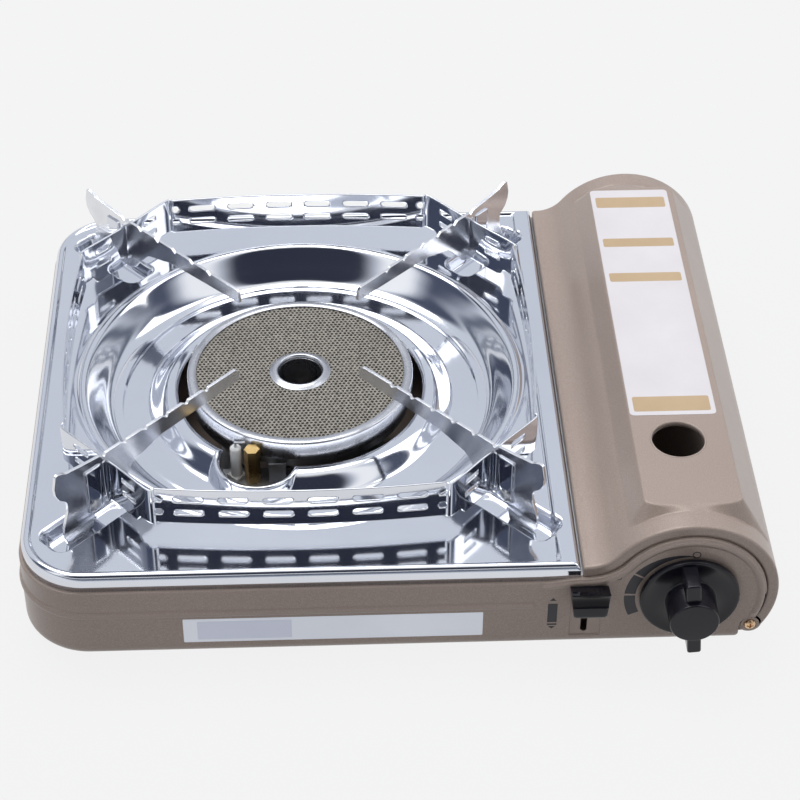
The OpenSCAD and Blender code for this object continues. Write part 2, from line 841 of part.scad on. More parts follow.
module valve_stem() {
  color(brass) put() difference() {
    rod_y([ax, 6 - knob_out, knob_z], stem_r, knob_out + 14);
    translate([ax + 0.6 * stem_r, 5 - knob_out, knob_z - 4]) cube([4, knob_out - 9, 8]);
  }
}

// plate that the cartridge's collar is pulled against, with the pin for its notch
module guide_plate() {
  y = neck_y + 6.8;
  color(zinc) put() difference() {
    union() {
      run_y(y, y + 1) {
        translate([ax, can_z]) circle(19);
        translate([ax - 6, can_z]) square([12, 24]);
        translate([ax + 8, ft]) square([14, 24]);
      }
      translate([ax - 3, neck_y, can_z + 23.2]) cube([6, 7.8, 0.8]);
      translate([ax + 8, neck_y, ft]) cube([14, 7.4, 0.8]);
    }
    rod_y([ax, y - 1, can_z], 7.2, 3);
    run_y(y - 1, y + 2) translate([ax - 2, can_z + 12]) square([4, 5]);
  }
}

module cradle() {
  color(zinc) put() for (y = [112, plate_d - 58]) difference() {
    union() {
      run_y(y, y + 1) translate([ax - 24.5, ft]) square([49, 8]);
      for (x = [ax - 24.5, ax + 16.5]) translate([x, y, ft]) cube([8, 10, 0.8]);
    }
    rod_y([ax, y - 2, can_z], can_r + 0.2, 14);
  }
}

// ---- controls ----

module knob() {
  skirt_y = -5;
  rib = 6.5;
  color(black) put() difference() {
    union() {
      rod_y([ax, skirt_y, knob_z], knob_r, 1.7);
      translate([ax, skirt_y, knob_z]) rotate([90, 0, 0]) cylinder(r1 = knob_r, r2 = knob_r - 1, h = 0.8);
      rod_y([ax, 0.6 - knob_out, knob_z], hub_r, knob_out + skirt_y - 0.6);
      translate([ax, 0.6 - knob_out, knob_z]) rotate([90, 0, 0])
        cylinder(r1 = hub_r, r2 = hub_r - 0.6, h = 0.6);
      translate([ax - rib / 2, 2 - knob_out, knob_z - knob_r + 1.5])
        cube([rib, knob_out + skirt_y - 2, 2 * knob_r - 3]);
    }
    run_y(5.9 - knob_out, -3) translate([ax, knob_z]) intersection() {
      circle(stem_r);
      translate([-4, -4]) square([4 + 0.6 * stem_r, 8]);
    }
    run_y(skirt_y, -3) translate([ax, knob_z]) difference() {
      circle(knob_r - 3.1);
      circle(stem_r + 5);
    }
  }
}

module lever_grip() {
  x = lever_x + 0.95;
  color(black) put() difference() {
    translate([x - grip_w / 2, -12, grip_z]) cube([grip_w, 12 - out - bead_h - 0.2, grip_h]);
    rod_z([x, -20.5, grip_z - 5], 10, grip_h + 10);
    translate([lever_x - lever_t / 2, -8, grip_z + 1.3]) cube([lever_t, 8, 8.5]);
  }
}

// plate behind the grip, with the slanted slot that drives the fork
module lever_plate() {
  low = drive_z - 3;
  high = drive_z + lever_travel + 3;
  neck = grip_z + 1.3;
  slot_r = 1.95;
  color(steel) put() difference() {
    run_x(lever_x - lever_t / 2, lever_x + lever_t / 2) polygon([[-8, neck], [0.2, neck],
      [0.2, low + 3.2], [3.4, low], [drive_y + 5, low], [drive_y + 5, high], [0.2, high],
      [0.2, neck + 8.5], [-8, neck + 8.5]]);
    rod_x([lever_x - 2, drive_y, drive_z], slot_r, 4);
    rod_x([lever_x - 2, drive_y - fork_travel, drive_z + lever_travel], slot_r, 4);
    translate([lever_x - 2, drive_y, drive_z]) rotate([atan2(fork_travel, lever_travel), 0, 0])
      translate([0, -slot_r, 0]) cube([4, 2 * slot_r, norm([fork_travel, lever_travel])]);
  }
}

module lever_guide() {
  y = drive_y + 5.06;
  color(black) put() difference() {
    translate([part_x + 0.8, y - 2.26, ft + 1.1]) cube([lever_x + 1.2 - part_x - 0.8, 4.8, 37]);
    translate([lever_x - lever_t / 2 - 0.05, y - 3, ft]) cube([lever_t + 0.1, 3, 45]);
  }
}

module catch_slider() {
  t = 1.2;
  color(steel) put() difference() {
    union() {
      translate([fork_x, 14, drive_z - 6]) cube([t, fork_y - 13.2, 8]);
      rod_x([fork_x - 2.5, drive_y, drive_z], 1.9, 3);
      translate([fork_x, fork_y, can_z - 30.2]) cube([ax + 1.7 - fork_x, t, 18]);
      rod_y([ax, fork_y, can_z], 22, t);
    }
    rod_y([ax, fork_y - 5, can_z], 17.5, 10);
    run_y(fork_y - 5, fork_y + 5) translate([ax - 30, can_z - 4]) square([60, 40]);
  }
}

module slider_guide() {
  color(black) put() for (y = [36, 54]) difference() {
    translate([part_x + 0.8, y, drive_z - 10]) cube([fork_x + 3 - part_x - 0.8, 6, 16]);
    translate([fork_x - 0.05, y - 1, drive_z - 6.05]) cube([1.3, 8, 8.1]);
    translate([fork_x + 0.8, y - 1, drive_z - 4]) cube([4, 8, 4]);
  }
}

// ---- pan support ----

// outline of an arm from the burner out, its height follows the pan rest
tooth_n = 6;
tooth_r = 61.6;
tooth_step = 12.7;
foot_z = 0.02 - trough_z;
under = [[43, rest_z - 0.6], [41.4, rest_z - 2], [40.4, rest_z - 7.7], [60, rest_z - 8.3],
  [75, rest_z - 8.7], [91, rest_z - 9.2], [97, rest_z - 10.8], [107.5, rest_z - 13.4],
  [110.5, rest_z - 16]];
leg = [[115.5, 7.4], [119, 3], [126, 0.6], [134, 0], [136, foot_z], [150.5, foot_z], [151.6, -4],
  [152, 2], [148.6, 11.5]];
horn = [[148.4, rest_z - 14], [149.4, rest_z - 11.6], [152.6, rest_z - 8.8], [154.4, rest_z - 5],
  [154.8, rest_z - 1], [153.4, rest_z + 5.3], [152, rest_z + 5.8], [149.4, rest_z + 5],
  [147.4, rest_z + 3.7], [136, rest_z + 2.2]];
teeth = [for (i = [tooth_n - 1 : -1 : 0]) let (r = tooth_r + i * tooth_step, z = rest_z - 0.3 + 0.3 * i)
  each [[r + 1.5, z - 0.1], [r, z - 1.6], [r - 1.5, z]]];

module arm() {
  difference() {
    translate([0, arm_t / 2, 0]) rotate([90, 0, 0]) linear_extrude(arm_t)
      polygon(concat(under, leg, horn, teeth));
    rod_y([rivet_r, -2, rivet_z], rivet_d / 2 + seat_fit, 4);
  }
}

module arm_at(a) {
  color(steel) put() translate([cx, cy, 0]) rotate([0, 0, a]) arm();
}

module arm_front_left() {
  arm_at(180 + arm_a);
}

module arm_front_right() {
  arm_at(-arm_a);
}

module arm_rear_left() {
  arm_at(180 - arm_a);
}

module arm_rear_right() {
  arm_at(arm_a);
}

// plan of one guard: a bow g from the centre, and tabs along the arms, whose direction is (c, s)
bow_x = 68;
function tab(r, c, s) = r * [c, s] + (arm_t / 2 + guard_t + 0.03) * [-s, c];
function guard_half(g, c, s) = concat([for (i = [0 : 5]) [i * bow_x / 5, g + bow * (0.95 - pow(i / 5, 2))]],
  [tab(rivet_r + 4, c, s), tab(rivet_r - 3.8, c, s)]);
function flip(p) = [for (i = [len(p) - 1 : -1 : 1]) [-p[i][0], p[i][1]]];
function guard_plan(g, c, s) = concat(flip(guard_half(g, c, s)), guard_half(g, c, s));

module slot2d(l, h) {
  for (m = [-1, 1]) translate([m * (l - h) / 2, 0]) circle(h / 2);
  translate([-(l - h) / 2, -h / 2]) square([l - h, h]);
}

// two rows of slots between round holes, and short slots in the wings
module slots2d() {
  step = 19.8;
  for (z = [-guard_low - 6.4, -guard_low - 14]) {
    for (i = [0 : 5]) translate([(i - 2.5) * step, z]) slot2d(slot_l, slot_h);
    for (m = [-1, 1]) translate([m * 63.3, z]) circle(1.9);
    for (m = [-1, 1]) translate([m * 80, z]) slot2d(9, slot_h);
  }
}

module guard(g, c, s) {
  difference() {
    linear_extrude(guard_top) strip(guard_plan(g, c, s), guard_t);
    translate([-bow_x - 4, 60, -1]) cube([2 * bow_x + 8, 80, guard_low + 1]);
    for (m = [-1, 1]) translate([m * 84, 100, 1.4]) cube([24.2, 80, 2.8], center = true);
    translate([0, 80, 0]) rotate([-90, 0, 0]) linear_extrude(60) slots2d();
    for (m = [-1, 1]) translate([m * rivet_r * c, rivet_r * s, rivet_z]) rotate([0, 0, m * atan2(s, c)])
      rod_y([0, -4, 0], rivet_d / 2 + seat_fit, 8);
  }
}

module guard_at(a, g, c, s) {
  color(steel) put() translate([cx, cy, 0]) rotate([0, 0, a]) guard(g, c, s);
}

module guard_front() {
  guard_at(180, guard_y, cos(arm_a), sin(arm_a));
}

module guard_rear() {
  guard_at(0, guard_y, cos(arm_a), sin(arm_a));
}

module guard_left() {
  guard_at(90, guard_x, sin(arm_a), cos(arm_a));
}

module guard_right() {
  guard_at(-90, guard_x, sin(arm_a), cos(arm_a));
}

module trivet_rivets() {
  grip = arm_t / 2 + guard_t + 0.05;
  color(steel) put() translate([cx, cy, 0]) for (a = [arm_a, 180 - arm_a, 180 + arm_a, -arm_a])
    rotate([0, 0, a]) {
      rod_y([rivet_r, -grip - 0.5, rivet_z], rivet_d / 2, 2 * grip + 1);
      for (y = [grip, -grip - 0.9]) rod_y([rivet_r, y, rivet_z], 3.4, 0.9);
    }
}

base_shell();
feet();
top_plate();
partition();
cover();
cover_label();
front_label();
hinge_screw_front();
hinge_screw_rear();
burner_bowl();
burner_bracket();
ceramic_plate();
burner_gasket();
burner_ring();
burner_core();
mixing_tube();
gas_jet();
gas_pipe();
electrode_ceramic();
electrode_wire();
electrode_bracket();
brass_post();
ignition_lead();
piezo_igniter();
regulator_body();
regulator_cap();
regulator_nozzle();
nozzle_seal();
regulator_bracket();
bracket_screws();
valve_stem();
guide_plate();
cradle();
knob();
lever_grip();
lever_plate();
lever_guide();
catch_slider();
slider_guide();
arm_front_left();
arm_front_right();
arm_rear_left();
arm_rear_right();
guard_front();
guard_rear();
guard_left();
guard_right();
trivet_rivets();
burner_screws();
plate_screws();
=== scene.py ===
"""Cassette stove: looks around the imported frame. Sizes in millimetres, as in the part's drawing,
with the plate's left front corner at x 0, y 0 and its rim at z 0."""
import math

import bmesh
import bpy
import numpy as np
from mathutils import Matrix, Vector


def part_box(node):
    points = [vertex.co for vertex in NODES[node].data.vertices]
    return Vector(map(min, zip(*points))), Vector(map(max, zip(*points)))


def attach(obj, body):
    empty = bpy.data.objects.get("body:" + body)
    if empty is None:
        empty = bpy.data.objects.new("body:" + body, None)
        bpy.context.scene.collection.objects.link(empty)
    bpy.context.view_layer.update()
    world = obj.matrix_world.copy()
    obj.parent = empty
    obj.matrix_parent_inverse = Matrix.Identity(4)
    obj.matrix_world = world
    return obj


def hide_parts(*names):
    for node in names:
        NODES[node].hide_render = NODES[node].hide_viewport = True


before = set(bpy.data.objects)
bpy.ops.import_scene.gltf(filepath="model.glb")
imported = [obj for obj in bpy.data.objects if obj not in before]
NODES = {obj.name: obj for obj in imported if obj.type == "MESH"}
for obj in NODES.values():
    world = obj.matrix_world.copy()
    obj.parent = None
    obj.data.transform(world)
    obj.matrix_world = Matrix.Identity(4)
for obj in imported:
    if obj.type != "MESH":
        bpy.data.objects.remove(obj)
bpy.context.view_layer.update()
SCENE = bpy.context.scene

# ---- drawing's measures ----
ORIGIN = np.array([167.35, 126.75, -53.5])     # the model's origin in the drawing
PLATE_W, PLATE_D, PLATE_R = 248.0, 272.0, 30.0
FIELD_Z, SHEET, SKIRT = -1.2, 0.8, 8.7
EDGE_W, EDGE_W_RIGHT = 5.0, 10.4               # how far the edge bead reaches in
CX, CY = 125.3, 138.0                          # burner's centre
DISH_R, DISH_Z, OPEN_R, COLLAR_Z = 107.0, -14.7, 58.9, -6.8
LOBE_X, LOBE_Y, LOBE_R = 105.0, 84.0, 17.5     # ignition bay
TROUGH_IN, TROUGH_OUT, TROUGH_W, TROUGH_Z = 113.0, 162.0, 19.0, 8.0
FLOOR_Z = -48.5
WALL = 1.5          # the tub's walls stand this far outside the plate
TUB_SHEET = 0.9     # sheet of the tub and the cover
# the cover's hump (centre AX, AZ) and the hollow beside it (centre BX, BZ)
HUMP_R, HOLLOW_R, SEAM_X, SEAM_Z = 40.7, 16.25, 249.0, -1.0
BX, BZ, AZ = 251.0, 15.25, -19.0
TILT = math.asin((BZ - AZ) / (HUMP_R + HOLLOW_R))
AX = BX + (HUMP_R + HOLLOW_R) * math.cos(TILT)
PANEL_X, PANEL_HALF, PANEL_TOP = AX + 1.4, 21.7, 22.3
HINGE = (326.08, -38.04)
KNOB_Z = -16.5
HOLE_Y, HOLE_R = 57.8, 12.0
REST_Z = 29.0       # where a pan rests
GAP_IN = 5.6        # the end panels lie this far inside the cover's outline
FLOOR_EDGE_X = 326.5
CORNER_X = 321.0    # lower right corner of the end panels
ARM_A = 45.8
ARMS = {"rear_right": ARM_A, "rear_left": 180 - ARM_A, "front_left": 180 + ARM_A, "front_right": -ARM_A}


def to_model(points):
    return (np.asarray(points, float) - ORIGIN) / 1000.0


def stack(*parts):
    """Coordinates side by side in the last axis, single numbers repeated."""
    return np.stack(np.broadcast_arrays(*parts), axis=-1)


def cos_sin(degrees):
    return math.cos(math.radians(degrees)), math.sin(math.radians(degrees))


# ---- node material helpers ----
def set_socket(tree, socket, value):
    """Gives a socket a colour, a number or a link."""
    if isinstance(value, tuple):
        socket.default_value = (*value, 1.0)
    elif isinstance(value, (int, float)):
        socket.default_value = value
    else:
        tree.links.new(value, socket)


def feed(tree, node, **inputs):
    """Fills a node's inputs by name, with _ for a space."""
    for name, value in inputs.items():
        set_socket(tree, node.inputs[name.replace("_", " ")], value)


def add(tree, kind, **inputs):
    node = tree.nodes.new("ShaderNode" + kind)
    feed(tree, node, **inputs)
    return node


def new_material(name):
    mat = bpy.data.materials.new(name)
    mat.use_nodes = True
    return mat, mat.node_tree, mat.node_tree.nodes["Principled BSDF"]


def noise(tree, scale, detail=4.0, rough=0.5):
    """Noise in object space; scale is per metre."""
    return add(tree, "TexNoise", Scale=scale, Detail=detail, Roughness=rough,
               Vector=add(tree, "TexCoord").outputs["Object"]).outputs["Fac"]


def ramp(tree, fac, *stops):
    node = add(tree, "ValToRGB", Fac=fac)
    elements = node.color_ramp.elements
    while len(elements) < len(stops):
        elements.new(0.5)
    for element, (pos, colour) in zip(elements, stops):
        element.position = pos
        element.color = (*colour, 1.0)
    return node.outputs["Color"]


def grey(tree, fac, low, high):
    return add(tree, "MapRange", To_Min=low, To_Max=high, Value=fac).outputs["Result"]


def bump(tree, shader, height, strength, distance):
    node = add(tree, "Bump", Strength=strength, Distance=distance, Height=height)
    feed(tree, shader, Normal=node.outputs["Normal"])


def colour_mix(tree, fac, a, b, blend="MIX"):
    node = add(tree, "Mix")
    node.data_type = "RGBA"
    node.blend_type = blend
    feed(tree, node, Factor=fac, A=a, B=b)
    return node.outputs["Result"]


def finish_material(name, dark, light, rough, metallic, scale, grain, depth, strength=0.3,
                    specular=0.5, coat=0.0):
    """Colour clouds between two tones, uneven roughness and a fine grain."""
    mat, tree, shader = new_material(name)
    clouds = noise(tree, scale, 5.0, 0.55)
    feed(tree, shader, Base_Color=ramp(tree, clouds, (0.3, dark), (0.7, light)), Metallic=metallic,
         Roughness=grey(tree, noise(tree, scale * 2.3, 4.0, 0.6), *rough), Specular_IOR_Level=specular)
    if coat:
        feed(tree, shader, Coat_Weight=coat, Coat_Roughness=0.12)
    bump(tree, shader, noise(tree, grain, 3.0, 0.6), strength, depth)
    return mat


def paint_material():
    """Bronze metallic paint: fine flakes under a soft clear coat."""
    mat, tree, shader = new_material("bronze_paint")
    tone = ramp(tree, noise(tree, 2600.0, 2.0, 0.6), (0.30, (0.318, 0.251, 0.212)),
                (0.55, (0.384, 0.306, 0.260)), (0.75, (0.468, 0.380, 0.328)))
    cloud = ramp(tree, noise(tree, 14.0, 3.0), (0.3, (0.94, 0.94, 0.95)), (0.7, (1.0, 1.0, 1.0)))
    feed(tree, shader, Base_Color=colour_mix(tree, 1.0, tone, cloud, "MULTIPLY"), Metallic=0.10,
         Roughness=grey(tree, noise(tree, 40.0, 5.0), 0.30, 0.38), Specular_IOR_Level=0.3,
         Coat_Weight=0.15, Coat_Roughness=0.14)
    bump(tree, shader, noise(tree, 1500.0, 2.0, 0.6), 0.10, 0.00002)
    return mat


# key and name, two tones, roughness from and to, metallic, scale of the clouds (per metre), the
# grain's scale and depth (metres), and where they aren't the usual its strength, specular level, coat
# one row, a glossier black, has a darker colour and weaker reflection than the plain black: painted shade
# for the lever grip's upper face
FINISHES = """
mirror  mirror_steel       .66 .68 .73    .72 .74 .79    .04 .09 1  9   700  .000004 .12
plate   drawn_mirror_steel .66 .68 .73    .72 .74 .79    .06 .12 1  9   700  .000004 .12
arm     barrelled_steel    .70 .71 .74    .84 .85 .88    .14 .24 1  60  500  .00003 .35
satin   satin_steel        .42 .43 .46    .54 .55 .58    .20 .34 1  30  1500 .00001
zinc    zinc_steel         .42 .43 .45    .60 .61 .63    .30 .48 1  45  1200 .00002
black   black_plastic      .005 .005 .009 .009 .009 .014 .15 .24 0  70  2200 .00002 .3 .34
gloss   black_gloss        .003 .003 .005 .005 .005 .008 .06 .12 0  70  2200 .00001 .2 .16
rubber  black_rubber       .012 .012 .013 .030 .030 .031 .70 .85 0  80  1800 .00005
brass   brass              .50 .33 .13    .70 .50 .22    .20 .38 1  90  1400 .00002
copper  copper_plating     .50 .32 .18    .68 .47 .29    .16 .30 1  120 1500 .00002
cast    die_cast           .40 .41 .42    .52 .53 .54    .40 .58 .9 60  900  .00008
fibre   fibre              .62 .60 .55    .78 .76 .70    .85 .95 0  200 2600 .0001 .6
ceramic white_ceramic      .72 .72 .70    .82 .82 .80    .12 .24 0  120 900  .00001 .3 .5 .4
clay    honeycomb          .22 .205 .18   .37 .345 .305  .85 .95 0  420 2400 .00006 .5
label   label_film         .64 .61 .62    .70 .67 .68    .34 .46 0  25  1500 .00001
film    silver_film        .70 .73 .80    .76 .79 .86    .30 .40 .6 25  1500 .00001
band    label_band         .46 .33 .19    .52 .38 .23    .40 .50 0  40  1500 .00001
tint    label_tint         .58 .61 .72    .62 .65 .76    .36 .46 .6 40  1500 .00001
ink     print_ink          .014 .014 .018 .026 .025 .031 .45 .6  0  90  1500 .00002
"""
MATS = {"paint": paint_material()}
for row in FINISHES.strip().splitlines():
    key, title, *words = row.split()
    n = [float(word) for word in words]
    MATS[key] = finish_material(title, tuple(n[:3]), tuple(n[3:6]), n[6:8], *n[8:])

# slot names of the materials that pieces use; the others are all on labels
SLOTS = {"paint": "bronze_paint", "mirror": "mirror_steel", "plate": "mirror_steel", "arm": "mirror_steel",
         "satin": "mirror_steel", "black": "black_plastic", "copper": "brass", "clay": "honeycomb"}


# ---- mesh helpers ----
def new_object(name, verts, faces, mat, body, smooth=True):
    """A piece from points in drawing millimetres."""
    mesh = bpy.data.meshes.new(name)
    mesh.from_pydata(to_model(verts).tolist(), [], [tuple(int(i) for i in f) for f in faces])
    mesh.materials.append(MATS[mat])
    mesh.validate()
    mesh.update()
    for poly in mesh.polygons:
        poly.use_smooth = smooth
    obj = bpy.data.objects.new(name, mesh)
    SCENE.collection.objects.link(obj)
    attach(obj, body)
    SLOTS.get(mat, "label")
    return obj


def grid_faces(n, m, wrap_u=False, wrap_v=False, keep=None, flip=False):
    """Quads of an n by m grid of vertices, numbered row by row."""
    i, j = np.indices((n if wrap_u else n - 1, m if wrap_v else m - 1))
    if keep is not None:
        i, j = i[keep], j[keep]
    i, j = i.ravel(), j.ravel()
    i1, j1 = (i + 1) % n, (j + 1) % m
    quads = stack(i * m + j, i1 * m + j, i1 * m + j1, i * m + j1)
    return quads[:, ::-1] if flip else quads


def compact(verts, faces):
    """Drops the vertices that no face uses."""
    used = np.zeros(len(verts), bool)
    used[faces] = True
    return verts[used], (np.cumsum(used) - 1)[faces]


def modifier(obj, kind, **values):
    mod = obj.modifiers.new(kind.lower(), kind)
    for key, value in values.items():
        setattr(mod, key, value)
    return mod


def thicken(obj, mm):
    """Sheet thickness, grown behind the shown face."""
    return modifier(obj, "SOLIDIFY", thickness=mm / 1000, offset=-1.0, use_quality_normals=True)


def bevel(obj, mm, segments=2, angle=35.0):
    modifier(obj, "BEVEL", width=mm / 1000, segments=segments, limit_method="ANGLE",
             angle_limit=math.radians(angle), harden_normals=True, miter_outer="MITER_ARC")
    obj.data.set_sharp_from_angle(angle=math.radians(angle))


def span(a, b, step):
    return np.linspace(a, b, max(2, int(round(abs(b - a) / step)) + 1))


def stations(*runs):
    """Joined stations from (start, end, step) runs."""
    return np.unique(np.round(np.concatenate([span(*run) for run in runs]), 5))


def smooth_max(a, b, k):
    h = np.clip(0.5 + 0.5 * (a - b) / k, 0, 1)
    return b + (a - b) * h + k * h * (1 - h)


def smooth_min(a, b, k):
    return -smooth_max(-a, -b, k)


def ease(t):
    t = np.clip(t, 0, 1)
    return t * t * (3 - 2 * t)


def capsule(u, v, a, b, r):
    """Signed distance to a rounded slot from a to b."""
    px, py = u - a[0], v - a[1]
    dx, dy = b[0] - a[0], b[1] - a[1]
    length = dx * dx + dy * dy
    t = np.clip((px * dx + py * dy) / length, 0, 1) if length else 0 * u
    return np.hypot(px - t * dx, py - t * dy) - r


def cut_grid(u, v, distance):
    """Cuts holes in a grid of plane points; the border vertices move onto the holes' edges.
    Returns the moved grid and the mask of the faces that stay."""
    d = distance(u, v)
    keep = (d[:-1, :-1] + d[1:, :-1] + d[:-1, 1:] + d[1:, 1:]) / 4 > 0
    k = np.pad(keep, 1, mode="edge")
    around = stack(k[:-1, :-1], k[1:, :-1], k[:-1, 1:], k[1:, 1:])
    edge = around.any(-1) & ~around.all(-1)
    u, v = u.copy(), v.copy()
    e = 1e-3
    for _ in range(3):
        gu = (distance(u + e, v) - distance(u - e, v)) / (2 * e)
        gv = (distance(u, v + e) - distance(u, v - e)) / (2 * e)
        size = np.maximum(gu * gu + gv * gv, 0.3)
        d = np.clip(distance(u, v), -1.2, 1.2)
        u = np.where(edge, u - d * gu / size, u)
        v = np.where(edge, v - d * gv / size, v)
    return u, v, keep


# two directions across an axis, and the axis
TURNS = {"y": ((0, 0, 1), (1, 0, 0), (0, 1, 0)), "z": ((1, 0, 0), (0, 1, 0), (0, 0, 1))}


def lathe(name, profile, centre, axis, mat, body, steps=128, closed=True):
    """Profile of (radius, height) points turned about an axis, named or given as in TURNS."""
    u, v, w = np.array(TURNS.get(axis, axis), float)
    a = np.arange(steps) * 2 * np.pi / steps
    prof = np.asarray(profile, float)
    ring = np.cos(a)[:, None] * u + np.sin(a)[:, None] * v
    pts = np.asarray(centre, float) + prof[:, :1, None] * ring + prof[:, 1:, None] * w
    obj = new_object(name, pts.reshape(-1, 3), grid_faces(len(prof), steps, closed, True), mat, body)
    weld(obj)
    return obj


def weld(obj, mm=0.002):
    """Joins points closer than mm, if not 0, and turns the faces outward."""
    bm = bmesh.new()
    bm.from_mesh(obj.data)
    if mm:
        bmesh.ops.remove_doubles(bm, verts=bm.verts, dist=mm / 1000)
        bmesh.ops.dissolve_degenerate(bm, edges=bm.edges, dist=mm / 2000)
    bmesh.ops.recalc_face_normals(bm, faces=bm.faces)
    bm.to_mesh(obj.data)
    bm.free()


def fillet(points, radius, steps=5):
    """Rounds the corners of a closed outline; a point's third number is its own radius."""
    pts = [np.array(p[:2], float) for p in points]
    out = []
    for i, p in enumerate(pts):
        a, b = pts[i - 1] - p, pts[(i + 1) % len(pts)] - p
        la, lb = np.linalg.norm(a), np.linalg.norm(b)
        a, b = a / la, b / lb
        half = math.acos(max(-1, min(1, float(a @ b)))) / 2
        if half > math.radians(86):
            out.append(p)
            continue
        own = points[i][2] if len(points[i]) > 2 else radius
        reach = min(own / math.tan(half), 0.48 * la, 0.48 * lb)
        s, e = p + a * reach, p + b * reach
        for k in range(steps + 1):
            t = k / steps
            out.append((1 - t) ** 2 * s + 2 * t * (1 - t) * p + t * t * e)
    return np.array(out)


def slab(name, outline, depth, place, mat, body, edge=0.2, segments=2):
    """A flat plate from a closed outline, bevelled; place maps (u, v, w) to drawing points."""
    pts = np.asarray(outline, float)
    n = len(pts)
    verts = place(np.vstack([stack(*pts.T, w) for w in (0.0, depth)]))
    faces = [tuple(range(n))[::-1], tuple(range(n, 2 * n))]
    faces += [(i, (i + 1) % n, n + (i + 1) % n, n + i) for i in range(n)]
    obj = new_object(name, verts, faces, mat, body)
    weld(obj, 0)
    bevel(obj, edge, segments)
    return obj


def front_face(y):
    """Places (x, z, w) with w growing towards the front from the plane y."""
    return lambda p: stack(p[:, 0], y - p[:, 2], p[:, 1])


def top_face(z):
    return lambda p: stack(p[:, 0], p[:, 1], z + p[:, 2])


def polar(degrees, r, t, z):
    """Points at radius r in a direction from the burner's centre, t to its left."""
    c, s = cos_sin(degrees)
    return stack(CX + r * c - t * s, CY + r * s + t * c, z)


def rect(x0, y0, x1, y1, r, steps=6):
    return fillet([(x0, y0), (x1, y0), (x1, y1), (x0, y1)], r, steps)


# ---- top plate ----
def ray_to_inset(theta, d):
    """Distance from the burner's centre to the plate's outline moved in by d."""
    c, s = np.cos(theta), np.sin(theta)
    r = np.full_like(theta, 1e9)
    left, right, low, high = d - CX, PLATE_W - d - CX, d - CY, PLATE_D - d - CY
    for bound, comp in ((left, c), (right, c), (low, s), (high, s)):
        with np.errstate(divide="ignore", invalid="ignore"):
            t = bound / comp
        r = np.where(t > 0, np.minimum(r, t), r)
    for ky, sy in ((PLATE_R - CY, -1), (PLATE_D - PLATE_R - CY, 1)):
        kx = PLATE_R - CX
        dot = kx * c + ky * s
        disc = dot ** 2 - (kx ** 2 + ky ** 2 - (PLATE_R - d) ** 2)
        hit = dot + np.sqrt(np.maximum(disc, 0))
        px, py = hit * c, hit * s
        corner = (disc > 0) & (px < kx) & (py * sy > ky * sy)
        r = np.where(corner, hit, r)
    return r


def plate_height(x, y):
    """Height of the pressed plate inside its edge bead."""
    r = np.hypot(x - CX, y - CY)
    dl = np.hypot(x - LOBE_X, y - LOBE_Y) - LOBE_R
    dm = r - OPEN_R
    rise = DISH_Z - COLLAR_Z
    main = DISH_Z - rise * (1 - ease((dm - 3.6) / 13.4))
    lobe = DISH_Z - (rise + 0.2) * (1 - ease((dl - 2.2) / 4.6))
    z = smooth_max(main, lobe, 1.2)
    z = z - 1.5 * np.clip(1 - np.minimum(dm, dl) / 2.6, 0, 1) ** 2.4
    z = np.where(r > 86.0, np.interp(r - DISH_R, *WALL_PROFILE.T), z)
    hu, hv, corner = (TROUGH_OUT - TROUGH_IN) / 2, TROUGH_W / 2, 6.0
    for a in ARMS.values():
        ca, sa = cos_sin(a)
        u, v = (x - CX) * ca + (y - CY) * sa, -(x - CX) * sa + (y - CY) * ca
        qx = np.abs(u - (TROUGH_OUT + TROUGH_IN) / 2) - hu + corner
        qy = np.abs(v) - hv + corner
        box = (np.hypot(np.maximum(qx, 0), np.maximum(qy, 0)) + np.minimum(np.maximum(qx, qy), 0)
               - corner)
        t = np.clip(-box / 4.4, 0, 1)
        dip = np.where(t < 0.5, 2 * t * t, 1 - 2 * (1 - t) ** 2)
        z = z - (TROUGH_Z + FIELD_Z) * dip
    return z


def spline(points, steps):
    """Catmull-Rom through the points."""
    p = np.array(points, float)
    p = np.vstack([2 * p[0] - p[1], p, 2 * p[-1] - p[-2]])
    out = []
    for i in range(1, len(p) - 2):
        for k in range(steps):
            t = k / steps
            out.append(0.5 * ((2 * p[i]) + (p[i + 1] - p[i - 1]) * t
                              + (2 * p[i - 1] - 5 * p[i] + 4 * p[i + 1] - p[i + 2]) * t ** 2
                              + (-p[i - 1] + 3 * p[i] - 3 * p[i + 1] + p[i + 2]) * t ** 3))
    out.append(p[-2])
    return np.array(out)


# distance from the dish radius against height: floor, wall, rolled rim, field
WALL_PROFILE = spline([(-21, DISH_Z), (-18.5, DISH_Z), (-15.6, DISH_Z + 0.9), (-12.8, DISH_Z + 3.3),
                       (-8.8, -6.2), (-5.2, -1.7), (-3.6, -0.1), (-2.2, 0.4), (-0.9, 0.1),
                       (0.4, -0.9), (1.6, FIELD_Z), (4, FIELD_Z)], 6)


def edge_rise(d, width):
    """Bead at the plate's edge: 0 on the field, 1 on its crest."""
    return ease((width - d) / 1.9)


def edge_section():
    """Rolled edge of the plate, (inset, drop): an arc, a steep flank and a tight arc to the skirt."""
    over, flank, tight = 2.6, 1.4, 0.8
    c, s = cos_sin(62)
    pts = [(-over * math.sin(a), over * (1 - math.cos(a))) for a in np.radians(span(0, 62, 7))]
    d, z = pts[-1]
    pts += [(d - flank * k * c, z + flank * k * s) for k in (0.5, 1.0)]
    d, z = pts[-1]
    pts += [(d - tight * (math.sin(a) - s), z + tight * (c - math.cos(a)))
            for a in np.radians((69, 76, 83, 90))]
    return np.array(pts) - (pts[-1][0], 0)


EDGE = edge_section()


def edge_drop(d):
    return np.interp(d, EDGE[::-1, 0], EDGE[::-1, 1], right=0.0)


